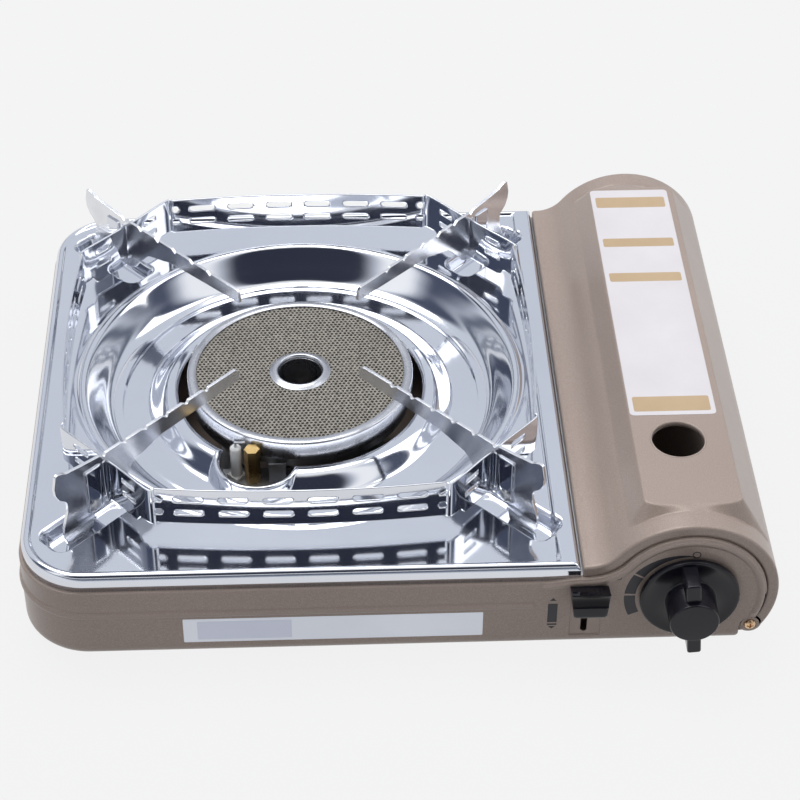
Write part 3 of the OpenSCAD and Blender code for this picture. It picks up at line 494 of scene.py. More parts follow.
def opening_radius(theta):
    """Boundary of the opening with the lobe, from the burner's centre."""
    lx, ly = LOBE_X - CX, LOBE_Y - CY
    dot = lx * np.cos(theta) + ly * np.sin(theta)
    disc = dot ** 2 - (lx ** 2 + ly ** 2 - LOBE_R ** 2)
    far = dot + np.sqrt(np.maximum(disc, 0))
    return np.where(disc > 0, smooth_max(far, np.full_like(far, OPEN_R), 2.2), OPEN_R)


def build_top_plate():
    """Rings round the burner, from the opening out to the skirt."""
    lobe_dir = math.degrees(math.atan2(LOBE_Y - CY, LOBE_X - CX)) % 360
    runs = [(0, 360, 0.75)] + [(a % 360 - 6.5, a % 360 + 6.5, 0.26) for a in ARMS.values()]
    runs += [(a - 3.5, a + 3.5, 0.12) for a in (lobe_dir - 17.2, lobe_dir + 17.2)]
    corners = [math.degrees(math.atan2(y - CY, PLATE_W - CX)) % 360 for y in (0, PLATE_D)]
    deg = stations(*runs)
    deg = np.unique(np.concatenate([deg[deg < 359.99], corners]))
    keep = np.concatenate([[True], np.diff(deg) > 0.06])
    deg = np.array([g for g, k in zip(deg, keep) if k or any(abs(g - c) < 1e-6 for c in corners)])
    theta = np.radians(deg)
    c, s = np.cos(theta), np.sin(theta)
    dish, field = 86.5, 114
    first = opening_radius(theta)
    rows = [first + (dish - first) * t
            for t in np.concatenate([(0, 0.02, 0.045, 0.075), span(0.11, 1, 0.032)])]
    rows += [np.full_like(theta, r) for r in stations((87.5, field, 0.62))]
    outer = np.maximum(ray_to_inset(theta, 10.9), field + 0.6)
    rows += [field + (outer - field) * t for t in span(0, 1, 1 / 64)[1:]]
    z_rows = [plate_height(CX + r * c, CY + r * s) for r in rows]
    for d in np.concatenate([span(10.6, 5.6, 0.45), span(5.4, 3.2, 0.2), EDGE[:, 0]]):
        r = np.maximum(ray_to_inset(theta, d), rows[-1] + 0.002)
        rows.append(r)
        z_rows.append(plate_height(CX + r * c, CY + r * s))
    verts = []
    for r, z in zip(rows, z_rows):
        x, y = CX + r * c, CY + r * s
        d_right = PLATE_W - x
        d_edge = np.minimum(x, np.minimum(y, PLATE_D - y))
        for ky, sy in ((PLATE_R, -1), (PLATE_D - PLATE_R, 1)):
            in_corner = (x < PLATE_R) & ((y - ky) * sy > 0)
            d_edge = np.where(in_corner, PLATE_R - np.hypot(x - PLATE_R, y - ky), d_edge)
        rise = np.maximum(edge_rise(d_edge, EDGE_W), edge_rise(d_right, EDGE_W_RIGHT))
        drop = np.maximum(edge_drop(d_edge), edge_drop(d_right))
        verts.append(stack(x, y, z + rise * -FIELD_Z - drop))
    for z in (-3.4, -5.0, -SKIRT):
        last = verts[-1].copy()
        last[:, 2] = z
        verts.append(last)
    obj = new_object("top_plate_pressed", np.concatenate(verts),
                     grid_faces(len(verts), len(theta), False, True), "plate", "body")
    thicken(obj, SHEET)
    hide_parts("top_plate")


# ---- cover ----
def cover_section():
    """Points and outward normals of the cover's outer face, seam to hinge side."""
    fold, start = 1.4, 180 - math.degrees(TILT)
    hump = np.concatenate([span(start, 138, 1.2), span(138, 112, 0.5), span(112, 62, 0.72),
                           span(62, 40, 0.5), span(40, -36, 1.4)])
    runs = [(SEAM_X + fold, SEAM_Z - fold, fold, 1, span(180, 90, 18)[1:]),
            (BX, BZ, HOLLOW_R, -1, span(270, 180 + start, 3.2)), (AX, AZ, HUMP_R, 1, hump)]
    pts = [(SEAM_X, z) for z in span(-6.45, -2.4, 0.9)]
    nrm = [(-1, 0)] * len(pts)
    for x, z, radius, side, degrees in runs:
        for c, s in map(cos_sin, degrees):
            p = (x + radius * c, z + radius * s)
            if math.dist(p, pts[-1]) > 0.02:
                pts.append(p)
                nrm.append((side * c, side * s))
    return np.array(pts), np.array(nrm)


def panel_height(x, y, z):
    """Height of the cover's crest with its raised flat panel, over the hump's height z."""
    slope = 1.65
    left = PANEL_TOP + (x - (PANEL_X - PANEL_HALF)) * slope
    right = PANEL_TOP - (x - (PANEL_X + PANEL_HALF)) * slope
    reach = np.minimum(y, PLATE_D - y)
    side = np.clip(np.abs(x - PANEL_X) / PANEL_HALF, 0, 1.3)
    ramp_z = z + (PANEL_TOP - z) * (reach - 11.4) / (2.7 + 2.8 * side ** 6)
    body = smooth_min(smooth_min(left, right, 0.8), ramp_z, 1.8)
    z = z - 0.5 * ease((reach - 9.4) / 2.0) * ease((1.25 - side) / 0.15)
    body = np.minimum(smooth_min(body, np.full_like(x, PANEL_TOP), 0.8), PANEL_TOP)
    return np.maximum(smooth_max(body, z, 0.5), z)


def build_cover():
    pts, nrm = cover_section()
    edge, lip = 1.2, 5.2
    rows = [(lip, 0.0), (4.0, 0.0), (2.6, 0.0), (1.6, 0.0)]
    rows += [(edge - edge * math.sin(a), edge - edge * math.cos(a)) for a in np.radians(span(0, 90, 15))]
    rows += [(0.0, y) for y in stations((2.0, 10, 0.9), (10, 18.4, 0.28), (18.4, 26, 0.8), (26, 44, 3),
                                        (44, 71.6, 0.6), (71.6, 136, 7))]
    rows += [(d, PLATE_D - y) for d, y in reversed(rows[:-1])]
    d, y = np.array(rows).T[:, :, None]
    x = pts[:, 0] - nrm[:, 0] * d
    z = pts[:, 1] - nrm[:, 1] * d
    y = y + 0 * x
    # at the seam the flange's inner edge runs level instead of following the narrow corner
    seam = pts[:, 0] < SEAM_X + 1.45
    near = np.minimum(d, edge)
    part = np.clip((d - edge) / (lip - edge), 0, 1)
    level = np.linspace(0, 1, seam.sum())
    sx, sz = (pts[seam, k] - nrm[seam, k] * near for k in (0, 1))
    x[:, seam] = sx + (SEAM_X + edge + 0.5 * level - sx) * part
    z[:, seam] = sz + (-6.45 + 0.25 * level - sz) * part
    z = np.where((x > 262) & (z > 0) & (d == 0), panel_height(x, y, z), z)
    x2, y2, keep = cut_grid(x, y, lambda u, v: np.hypot(u - AX, v - HOLE_Y) - HOLE_R)
    near_hole = (np.hypot(x - AX, y - HOLE_Y) < 20) & (z > 15)
    x, y = np.where(near_hole, x2, x), np.where(near_hole, y2, y)
    keep |= ~near_hole[:-1, :-1]
    verts, faces = compact(stack(x, y, z).reshape(-1, 3),
                           grid_faces(*x.shape, keep=keep, flip=True))
    obj = new_object("cover_pressed", verts, faces, "paint", "cover")
    thicken(obj, TUB_SHEET)
    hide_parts("cover")
    # turned down edge of the hole: (outward, up) from its corner
    rim = [(0.9, 0.03), (0.4, 0.05), (0.08, -0.12), (-0.12, -0.5), (-0.14, -2.4), (0.5, -2.4), (0.7, -0.9)]
    lathe("cover_hole_edge", np.array(rim) + (HOLE_R, PANEL_TOP), (AX, HOLE_Y, 0), "z", "paint",
          "cover", 96)
    ring = [(5.4, 0.25), (5.15, 0.0), (2.4, 0.0), (2.2, 0.2), (2.2, 0.9), (5.4, 0.9)]
    for i, (end, sign) in enumerate(((0.0, 1), (PLATE_D, -1))):
        lathe(f"cover_lug_{i}", [(r, end + sign * h) for r, h in ring], (HINGE[0], 0, HINGE[1]), "y",
              "paint", "cover", 64)


# ---- base ----
def hump_distance(x, z):
    """Distance inside the cover's end outline, positive inside."""
    circle = HUMP_R - np.hypot(x - AX, z - AZ)
    hollow = np.hypot(x - BX, z - BZ) - HOLLOW_R
    beyond = math.cos(TILT) * (z - BZ) + math.sin(TILT) * (x - BX)
    return np.where(beyond > 0, circle, np.where(x > BX, hollow, SEAM_Z - z))


def bead(away, half):
    """Section of a pressed half round bead, 1 on its crest."""
    t = np.clip(np.abs(away) / half, 0, 1)
    return (1 - t * t) ** 0.75


def panel_gap(x):
    """How far the end panels lie inside the cover's outline."""
    return GAP_IN + 1.9 * (1 - ease((x - 232.0) / 16.0))


def wall_bump(x, z):
    """How far the end wall's beads stand out, at x along it and height z."""
    h = bead(np.hypot(z + 22.0, np.maximum(0, x - 226.6)), 2.1)
    ridge = bead(np.hypot(hump_distance(x, z) - panel_gap(x) - 2.4, np.maximum(0, 232.4 - x)), 1.7)
    h = np.maximum(h, ridge * ease((z + 33.5) / 5.0))
    beside, below = np.abs(x - 251.2) - 7.1, np.abs(z + 29.5) - 17.0
    return h - 0.55 * ease(-beside / 0.4) * ease(-below / 1.2) * (h < 0.02)


def panel_outline(x, inset):
    """Upper outline of an end panel at x, moved in by inset, and its outward normal."""
    circle_r, hollow_r = HUMP_R - inset, HOLLOW_R + inset
    circle = AZ + np.sqrt(np.maximum(0, circle_r ** 2 - (x - AX) ** 2))
    hollow = BZ - np.sqrt(np.maximum(0, hollow_r ** 2 - (x - BX) ** 2))
    on_circle, on_flat = x > BX + hollow_r * math.cos(TILT), x < BX
    z = np.where(on_circle, circle, np.where(on_flat, BZ - hollow_r, hollow))
    nx = np.where(on_circle, (x - AX) / circle_r, np.where(on_flat, 0, (BX - x) / hollow_r))
    nz = np.where(on_circle, (z - AZ) / circle_r, np.where(on_flat, 1, (BZ - z) / hollow_r))
    return z, nx, nz


def end_panel_grid():
    """One end wall as a grid: columns along x, rows from the floor's edge up to the outline, round
    the fold and in along the lip."""
    fold, edge, rows_wall = 0.8, 7.0, 140
    inner = HUMP_R - GAP_IN - fold
    xs = stations((30, 222, 6.4), (222, 331.9, 0.42), (243.5, 245.0, 0.14), (257.5, 259.0, 0.14))
    xs = np.unique(np.minimum(xs, AX + inner - 0.01))
    top, nx, nz = panel_outline(xs, GAP_IN + fold)
    top = top - (panel_gap(xs) - GAP_IN)
    low = np.where(xs > AX, AZ - np.sqrt(np.maximum(0, inner ** 2 - (xs - AX) ** 2)), -60.0)
    arc = np.radians(span(0, 90, 10))
    lip = 5.5 - 2.5 * ease((xs - 244) / 5)
    corner = 1.3 - np.sqrt(np.maximum(0, 1.3 ** 2 - np.clip(xs - CORNER_X + 1.3, 0, 1.3) ** 2))
    columns = []
    for j, x in enumerate(xs):
        start = max(FLOOR_Z + edge, low[j])
        z = np.linspace(start, top[j], rows_wall)
        y = -WALL - wall_bump(x, z)
        foot_z = FLOOR_Z + edge - (edge - corner[j]) * np.cos(arc)
        foot_y = -WALL + edge - edge * np.sin(arc)
        if x > CORNER_X:
            foot_z, foot_y = start + 0 * arc, -WALL + 0 * arc
        turn = fold * np.sin(arc[1:])
        columns.append(np.concatenate([
            stack(x, foot_y, foot_z), stack(x, y, z),
            stack(x + nx[j] * turn, y[-1] + fold * (1 - np.cos(arc[1:])), top[j] + nz[j] * turn),
            stack(x + nx[j] * fold, [0.6, lip[j]], top[j] + nz[j] * fold)]))
    return np.stack(columns, axis=1)


def hinge_notch(u, v):
    """Open notch round the hinge screw at the panels' lower right corner."""
    return capsule(u, v, HINGE, (HINGE[0] + 0.3, -62.0), 5.1)


def cut_wall(distance):
    """An end wall's grid with holes cut in its plane, and the mask of the faces that stay."""
    pts = end_panel_grid()
    flat = pts[:, :, 1] < -WALL + 0.4
    u, v, keep = cut_grid(pts[:, :, 0], pts[:, :, 2], distance)
    pts[:, :, 0] = np.where(flat, u, pts[:, :, 0])
    pts[:, :, 2] = np.where(flat, v, pts[:, :, 2])
    return pts, keep


def build_base():
    front, keep_front = cut_wall(lambda u, v: np.minimum(
        capsule(u, v, (250.85, -38.2), (250.85, -12), 1.5), hinge_notch(u, v)))    # the lever's slot
    rear, keep_rear = cut_wall(hinge_notch)
    rear[:, :, 1] = PLATE_D - rear[:, :, 1]
    # corner, left wall, corner: points of the turn's axis and directions outward
    section = front[:, 0, :]
    path = [(PLATE_R, math.cos(a), math.sin(a)) for a in np.radians(span(270, 180, 3))[1:]]
    path += [(y, -1.0, 0.0) for y in span(PLATE_R, PLATE_D - PLATE_R, 10)[1:]]
    path += [(PLATE_D - PLATE_R, math.cos(a), math.sin(a)) for a in np.radians(span(180, 90, 3))[1:-1]]
    r = PLATE_R - section[:, 1]
    middle = np.stack([stack(PLATE_R + nx * r, y + ny * r, section[:, 2]) for y, nx, ny in path], axis=1)
    grid = np.concatenate([front[:, ::-1], middle, rear], axis=1)
    n_rows, n_columns = grid.shape[:2]
    keep = np.concatenate([keep_front[:, ::-1], np.ones((n_rows - 1, len(path) + 2), bool), keep_rear],
                          axis=1)[:, :n_columns - 1]
    verts, faces = compact(grid.reshape(-1, 3), grid_faces(n_rows, n_columns, keep=keep))
    obj = new_object("base_walls", verts, faces, "paint", "body")
    weld(obj, 0.004)
    thicken(obj, TUB_SHEET)
    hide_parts("base_shell")
    loop = grid[0]
    loop = loop[loop[:, 0] <= CORNER_X]
    corners = [(FLOOR_EDGE_X, PLATE_D - 6.0), (FLOOR_EDGE_X, 6.0)]
    slab("base_floor", np.vstack([loop[::3, :2], corners]), TUB_SHEET, top_face(FLOOR_Z), "paint", "body",
         0.1, 1)


# ---- burner ----
def build_burner():
    prof = [(50.2, 1.25), (50.2, 2.0), (50.5, 2.25), (53.4, 2.2), (54.2, 1.9), (54.5, 1.3), (54.5, -7.6),
            (53.9, -7.6), (53.9, 1.0), (53.5, 1.5), (51, 1.25)]
    ring = lathe("burner_ring_turned", prof, (CX, CY, 0), "z", "satin", "body", 192)
    bevel(ring, 0.15, 2, 50)
    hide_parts("burner_ring")
    for i, a in enumerate((20, 160, 200, 340)):
        slab(f"ring_clip_{i}", rect(-3.5, -4, 3.5, 1.6, 0.6), 0.8,
             lambda p: polar(a, 54.4 + p[:, 2], p[:, 0], p[:, 1]), "satin", "body")
    core = spline([(10.4, -38.4), (10.4, -3), (10.4, 0.6), (10.7, 1.8), (11.5, 2.55), (12.8, 2.35),
                   (14.1, 1.75), (14.8, 1.4), (14.6, 1.25)], 4)
    core = np.vstack([core, [(11.3, 1.3), (11.3, -38.4)]])
    sleeve = lathe("burner_core_drawn", core, (CX, CY, 0), "z", "satin", "body")
    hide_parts("burner_core")
    build_ceramic()


def build_ceramic():
    """Plate of small slanted holes in a lattice, each a real pit: its cell, its rim, its bottom."""
    pitch, hole, depth, top, slant, inner, outer = 2.05, 0.76, 3.2, 1.3, 0.35, 12.0, 50.9
    ct, st = cos_sin(3.0)
    rng = np.random.default_rng(7)
    cell = np.array([(1, 0), (1, 0.9), (0, 0.9), (-1, 0.9), (-1, 0), (-1, -0.9), (0, -0.9), (1, -0.9)])
    cell = cell * pitch / 2
    a = np.arctan2(cell[:, 1], cell[:, 0])
    rim, bottom = stack(1.12 * 0.86 * np.cos(a), np.sin(a)), 0.82 * stack(0.86 * np.cos(a), np.sin(a))
    reach = int(52 / pitch) + 2
    verts, faces = [], []
    for i in range(-reach, reach + 1):
        for j in range(-reach, reach + 1):
            at = np.array([(i + 0.5 * (j % 2)) * pitch, j * pitch * 0.9])
            if not inner <= np.hypot(*at) <= outer + 1.3:
                continue
            base = 8 * len(verts)
            wobble = rng.uniform(-0.09, 0.09, 3)
            size, mid = hole * (1 + wobble[0]), at + wobble[1:]
            for pts, z in ((at + cell, top), (mid + size * rim, top - 0.04),
                           (mid + (slant, 0) + size * bottom, top - depth)):
                verts.append(stack(*(pts @ [[ct, st], [-st, ct]]).T, z))
            for k in range(8):
                k1 = (k + 1) % 8
                faces += [(m + k, m + k1, m + 8 + k1, m + 8 + k) for m in (base, base + 8)]
            faces.append(tuple(base + 16 + k for k in range(8)))
    verts = np.concatenate(verts)
    verts[:, :2] *= np.minimum(1.0, outer / np.hypot(verts[:, 0], verts[:, 1]))[:, None]
    obj = new_object("ceramic_holes", verts + (CX, CY, 0), faces, "clay", "body", smooth=False)
    weld(obj, 0.01)
    prof = [(50.95, 0.6), (50.95, -11.7), (11.5, -11.7), (11.5, 1.1), (13.4, 1.2), (13.4, -2.3),
            (49.5, -2.3), (49.8, 0.9)]
    under = lathe("ceramic_body", prof, (CX, CY, 0), "z", "clay", "body")
    bevel(under, 0.1, 1, 50)
    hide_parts("ceramic_plate")


# ---- pan support ----
def arm_outline():
    """Outline (radius, height, own rounding) of an arm: underside, leg in its trough, horn, teeth."""
    teeth = []
    for i in range(5, -1, -1):
        r, z = 61.6 + i * 12.7, REST_Z - 0.3 + 0.3 * i
        teeth += [(r + 2.6, z + 0.05, 0.4), (r + 0.3, z - 1.7, 0.25), (r - 0.4, z - 1.7, 0.25),
                  (r - 1.0, z - 0.25, 0.35)]
    under = [(43, -0.6, 0.8), (41.4, -2, 0.8), (40.4, -7.7, 0.8), (60, -8.3, 1), (75, -8.7, 1),
             (91, -9.2, 2), (97, -10.8, 3), (107.5, -13.4, 2), (110.5, -16, 2)]
    horn = [(148.4, -14, 1.5), (149.4, -11.6, 1), (152.6, -8.8, 2), (154.4, -5, 1.5), (154.8, -1, 1.5),
            (153.4, 5.3, 0.6), (152, 5.8, 0.6), (149.4, 5, 0.8), (147.4, 3.7, 0.8), (136, 2.2, 2)]
    under, horn = ([(r, REST_Z + z, own) for r, z, own in part] for part in (under, horn))
    leg = [(115.5, 7.4, 2), (119, 3, 2), (126, 0.6, 2), (134, 0, 1), (136, -7.98, 1), (150.5, -7.98, 1),
           (151.6, -4, 1), (152, 2, 2), (148.6, 11.5, 2)]
    return fillet(under + leg + horn + teeth, 0.6, 3)


def build_arms():
    for name, a in ARMS.items():
        obj = slab(f"arm_{name}_blade", arm_outline(), 1.6,
                   lambda p: polar(a, p[:, 0], p[:, 2] - 0.8, p[:, 1]), "arm", "pan_support", 0.25, 3)
        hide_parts(f"arm_{name}")


def guard_path(g, c, s):
    """Plan of one guard, left tab to right tab, as a smooth line."""
    off = 1.23          # of a tab's middle from its arm's
    half = [(x, g + 3.9 * (0.95 - (x / 68) ** 2)) for x in (0, 10, 22, 34, 46, 57, 64, 68)]
    right = half + [(r * c - off * s, r * s + off * c) for r in (124.5, 130, 137.4)]
    line = spline([(-x, y) for x, y in right[:0:-1]] + right, 8)
    length = np.concatenate([[0], np.cumsum(np.hypot(*np.diff(line, axis=0).T))])
    u = stations((0, length[-1], 0.75))
    x, y = np.interp(u, length, line[:, 0]), np.interp(u, length, line[:, 1])
    return x, y, u - length[-1] / 2


def guard_holes(p, q):
    """Signed distance to two rows of slots: six long ones, and a round hole and a short one each end."""
    slots = [((i - 2.5) * 19.8 - 5, (i - 2.5) * 19.8 + 5, 1.5) for i in range(6)]
    for m in (-1, 1):
        slots += [(m * 63.3, m * 63.3, 1.9), (m * 78, m * 84, 1.5)]
    return np.min([capsule(p, q, (a, z), (b, z), r) for z in (12.9, 20.5) for a, b, r in slots], axis=0)


def build_guards():
    low, tab_low, high = 6.5, 2.8, REST_Z - 2.7
    ca, sa = cos_sin(ARM_A)
    for name, turn, g in (("rear", 0, 109.5), ("front", 180, 109.5), ("left", 90, 107.0),
                          ("right", -90, 107.0)):
        c, s = (ca, sa) if turn % 180 == 0 else (sa, ca)
        x, y, u = guard_path(g, c, s)
        foot = low - (low - tab_low) * ease((np.abs(x) - 71.0) / 2.2)
        t = np.linspace(0, 1, 38)
        uu, zz = u[:, None] + 0 * t, foot[:, None] + (high - foot[:, None]) * t
        uu, zz, keep = cut_grid(uu, zz, guard_holes)
        gx, gy = np.interp(uu, u, x), np.interp(uu, u, y)
        ct, st = cos_sin(turn)
        grid = stack(CX + gx * ct - gy * st, CY + gx * st + gy * ct, zz)
        verts, faces = compact(grid.reshape(-1, 3), grid_faces(*uu.shape, keep=keep, flip=True))
        obj = new_object(f"guard_{name}_sheet", verts, faces, "mirror", "pan_support")
        thicken(obj, 0.8).offset = 0.0
        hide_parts(f"guard_{name}")


def build_rivets():
    head = [(0, 3.0), (1.2, 2.92), (2.4, 2.55), (3.1, 2.0), (3.3, 1.68), (1.6, 1.62)]
    prof = head + [(r, -h) for r, h in reversed(head)]
    for i, a in enumerate(ARMS.values()):
        c, s = cos_sin(a)
        obj = lathe(f"rivet_{i}", prof, (CX + 133.4 * c, CY + 133.4 * s, 5.4),
                    ((0, 0, 1), (c, s, 0), (-s, c, 0)), "satin", "pan_support", 32, closed=False)
        if i == 0:
            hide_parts("trivet_rivets")


# ---- controls ----
def build_knob():
    centre, sharp = (AX, 0, KNOB_Z), math.radians(50)

    def edge(r, h):
        """A rounded edge about (r, h), from the face out to the side."""
        return [(r + 0.9 * math.cos(a), h - 0.9 * math.sin(a)) for a in np.radians(span(90, 0, 10))]
    skirt = [(0, -5.0), (0, -5.7), (12.4, -5.75), (13.2, -5.35), (19.2, -5.4), (20.2, -5.75)]
    skirt += edge(21.3, -4.9) + [(22.2, -3.3), (19, -3.35), (19, -4.6), (0, -4.7)]
    disc = lathe("knob_skirt", skirt, centre, "y", "black", "control", 160, closed=False)
    disc.data.set_sharp_from_angle(angle=sharp)
    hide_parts("knob")
    hub = [(0, -21.0)] + edge(10.0, -20.1) + [(11.15, -6.4), (11.4, -5.9), (12.0, -5.6), (0, -5.2)]
    hub = lathe("knob_hub", hub, centre, "y", "black", "control", closed=False)
    hub.data.set_sharp_from_angle(angle=sharp)
    half, reach = 3.1, 20.6
    c, s = cos_sin(5.0)
    outline = fillet([(-half, -reach), (half, -reach), (half + 0.2, reach), (-half - 0.2, reach)], 1.3, 5)
    slab("knob_rib", outline @ [[c, s], [-s, c]] + (AX, KNOB_Z), 13.9, front_face(-5.0), "black",
         "control", 1.1, 5)


def build_lever():
    """Finger grip: tapered towards its foot, hollowed face, ribs on top."""
    x, grip_z, grip_h = 251.75, -20.3, 14.5
    rise = np.array([0, 0.25, 0.8, 1.6, 4, 5.9, 6.1, 6.5, 7.4, 9, 11.2, 12.4, 12.9, 13.2, 13.4])
    round_in = np.array([0.9, 0.4, 0.1, 0, 0, 0, 0, 0, 0, 0, 0, 0, 0.05, 0.2, 0.5])
    face = np.interp(rise, [0, 5.9, 6.5, 9, 11.2, 13.4], [-12.5, -12.3, -11.7, -11.1, -11.3, -12.3])
    us = stations((-1, 1, 0.05))
    rows = []
    for dz, ins, front_y in zip(rise, round_in, face):
        w = 7.35 + 1.5 * dz / grip_h - ins
        dip = 0.55 * (1 - us ** 2) * dz / grip_h
        wave = -0.35 * np.cos(us * math.pi) * (dz / 13.4) ** 8
        rows.append(stack(x + us * w, front_y + dip + ins * 0.9 + 0.5 * np.abs(us) ** 14,
                          grip_z + dz + wave))
        rows.append([(x + side * w, -2.8, grip_z + min(dz, 10.6)) for side in (1, -1)])
    n, m = len(rise), len(us) + 2
    faces = [tuple(f) for f in grid_faces(n, m, False, True)]
    faces += [tuple(range(m))[::-1], tuple((n - 1) * m + k for k in range(m))]
    obj = new_object("lever_grip_body", np.concatenate(rows), faces, "black", "lever")
    # the upper front and the front of the top take the glossier black, whose darker colour and weaker
    # reflection paint the shade that falls there
    obj.data.materials.append(MATS["gloss"])
    for poly in obj.data.polygons:
        centre = np.array(poly.center) * 1000 + ORIGIN
        poly.material_index = int(centre[2] > grip_z + 6.2 and centre[1] < -8)
    weld(obj)
    bevel(obj, 0.35, 2, 40)
    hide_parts("lever_grip")
    for i in range(6):
        px = x - 5.0 + i * 2.0
        slab(f"lever_rib_{i}", rect(px - 0.4, -10.4, px + 0.4, -4.0, 0.35, 3), 0.45,
             lambda p: stack(p[:, 0], p[:, 1], grip_z + 10.35 + p[:, 2] - (p[:, 1] + 2.8) * 0.29),
             "black", "lever", 0.15, 2)


def build_hinge_screws():
    """Domed heads with a cross recess, each on a painted washer."""
    radius, steps = 2.7, 64
    r = np.concatenate([[0], np.linspace(0.2, 2.1, 16), np.linspace(2.2, radius, 7)])
    rr, aa = np.meshgrid(r, np.arange(steps) * 2 * np.pi / steps, indexing="ij")
    u, v = rr * np.cos(aa), rr * np.sin(aa)
    dome = 2.2 * (np.sqrt(np.maximum(0, 1 - (rr / (radius * 1.02)) ** 2)) - 1)
    arm = np.maximum(np.maximum(np.abs(u), np.abs(v)) - 1.6, np.minimum(np.abs(u), np.abs(v)) - 0.45)
    away = dome - 1.3 * ease(-arm / 0.45)
    washer = [(2.4, 0.08), (4.2, 0.08), (4.2, 0.6), (4.0, 0.72), (2.4, 0.72)]
    for end, side, sign, edge in (("front", 0, -1, 0.0), ("rear", 1, 1, PLATE_D)):
        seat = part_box(f"hinge_screw_{end}")[side][1] * 1000 + ORIGIN[1]
        verts = stack(HINGE[0] + u, seat + sign * away, HINGE[1] + v)
        skirt = verts[-1:].copy()
        skirt[:, :, 1] = seat - sign * 3.0
        obj = new_object(f"hinge_head_{end}", np.concatenate([verts, skirt]).reshape(-1, 3),
                         grid_faces(len(verts) + 1, steps, False, True), "copper", "body")
        weld(obj)
        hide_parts(f"hinge_screw_{end}")
        lathe(f"hinge_head_{end}_washer", [(r, edge + sign * h) for r, h in washer],
              (HINGE[0], 0, HINGE[1]), "y", "paint", "body", 64)


def build_marks():
    """Generic print on the end panel: a graded band round the knob, ring marks and a double arrow."""
    def sector(inner, outer, a0, a1):
        """Outline between two radii, each given at both ends."""
        a = np.radians(span(a0, a1, 3))
        inner, outer = (stack(AX - 1.5 + r * np.cos(a), KNOB_Z - 1.5 + r * np.sin(a))
                        for r in (np.linspace(*inner, len(a)), np.linspace(*outer, len(a))))
        return np.vstack([inner, outer[::-1]])

    def mark(name, outline):
        slab(name, outline, 0.05, front_face(-WALL), "ink", "body", 0.01, 1)
    mark("dial_band_0", sector((23.6, 22.3), (23.9, 27.3), 84, 148.4))
    mark("dial_band_1", sector((22.3, 22.3), (27.3, 27.3), 150.4, 176))
    mark("dial_band_2", sector((22.3, 22.3), (27.3, 27.3), 178.4, 205))
    for name, x, z, outer, inner, steps in (("dial_ring", 298.1, 6.6, 1.95, 1.5, 40),
                                            ("dial_dot_0", 264.9, -6.4, 1.15, 0.85, 32),
                                            ("dial_dot_1", 260.0, -28.2, 1.15, 0.85, 32)):
        ring = [(outer, -WALL), (outer, -WALL - 0.05), (inner, -WALL - 0.05), (inner, -WALL)]
        lathe(name, ring, (x, 0, z), "y", "ink", "body", steps)
    x0, x1 = 234.1, 238.4
    mark("arrow_up", [(x0 + 0.6, -19.5), (x1 - 0.6, -19.5), (236.25, -17.7)])
    mark("arrow_bar", [(x0, -21.3), (x1, -21.3), (x1, -32.9), (x0, -32.9)])
    mark("arrow_foot", [(x0, -33.7), (x1, -33.7), (x1, -34.7), (x0, -34.7)])
    mark("arrow_down", [(x0 + 0.6, -35.4), (x1 - 0.6, -35.4), (236.25, -37.0)])


def build_labels():
    """Bare film labels: rounded corners, plain bands, no print."""
    x0, x1, margin = 276.6, 316.6, 2.2
    obj = slab("cover_label_film", rect(x0, 74.8, x1, 255.0, 2.5), 0.14, top_face(PANEL_TOP), "label",
               "cover", 0.05, 1)
    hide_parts("cover_label")
    for name, a, b in ((0, 239.5, 248.5), (1, 205.5, 212.5), (2, 176.5, 183.5), ("foot", 77.5, 88.0)):
        slab(f"cover_band_{name}", rect(x0 + margin, a, x1 - margin, b, 1.2), 0.04,
             top_face(PANEL_TOP + 0.13), "band", "cover", 0.01, 1)
    obj = slab("front_label_film", rect(71.7, -39.8, 205.3, -25.4, 0.6), 0.14, front_face(-WALL), "film",
               "body", 0.05, 1)
    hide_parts("front_label")
    slab("front_band", rect(78, -38.2, 120, -27.0, 0.4), 0.04, front_face(-WALL - 0.13), "tint", "body",
         0.01, 1)


# ---- materials of the CAD nodes that stay ----
NODE_FINISH = {
    "zinc": "partition burner_bowl burner_bracket mixing_tube electrode_bracket electrode_wire "
            "regulator_cap regulator_bracket bracket_screws guide_plate cradle burner_screws "
            "plate_screws catch_slider lever_plate",
    "black": "lever_guide slider_guide piezo_igniter lever_grip knob",
    "rubber": "feet nozzle_seal ignition_lead",
    "brass": "gas_jet brass_post regulator_nozzle valve_stem",
    "copper": "hinge_screw_front hinge_screw_rear",
    "cast": "regulator_body gas_pipe",
    "fibre": "burner_gasket",
    "ceramic": "electrode_ceramic",
    "mirror": "top_plate burner_ring burner_core arm_front_left arm_front_right arm_rear_left "
              "arm_rear_right guard_front guard_rear guard_left guard_right trivet_rivets",
    "paint": "base_shell cover",
    "clay": "ceramic_plate",
    "label": "cover_label front_label",
}


def dress_nodes():
    for mat, names in NODE_FINISH.items():
        for name in names.split():
            slots = NODES[name].data.materials
            slots.clear()
            slots.append(MATS[mat])


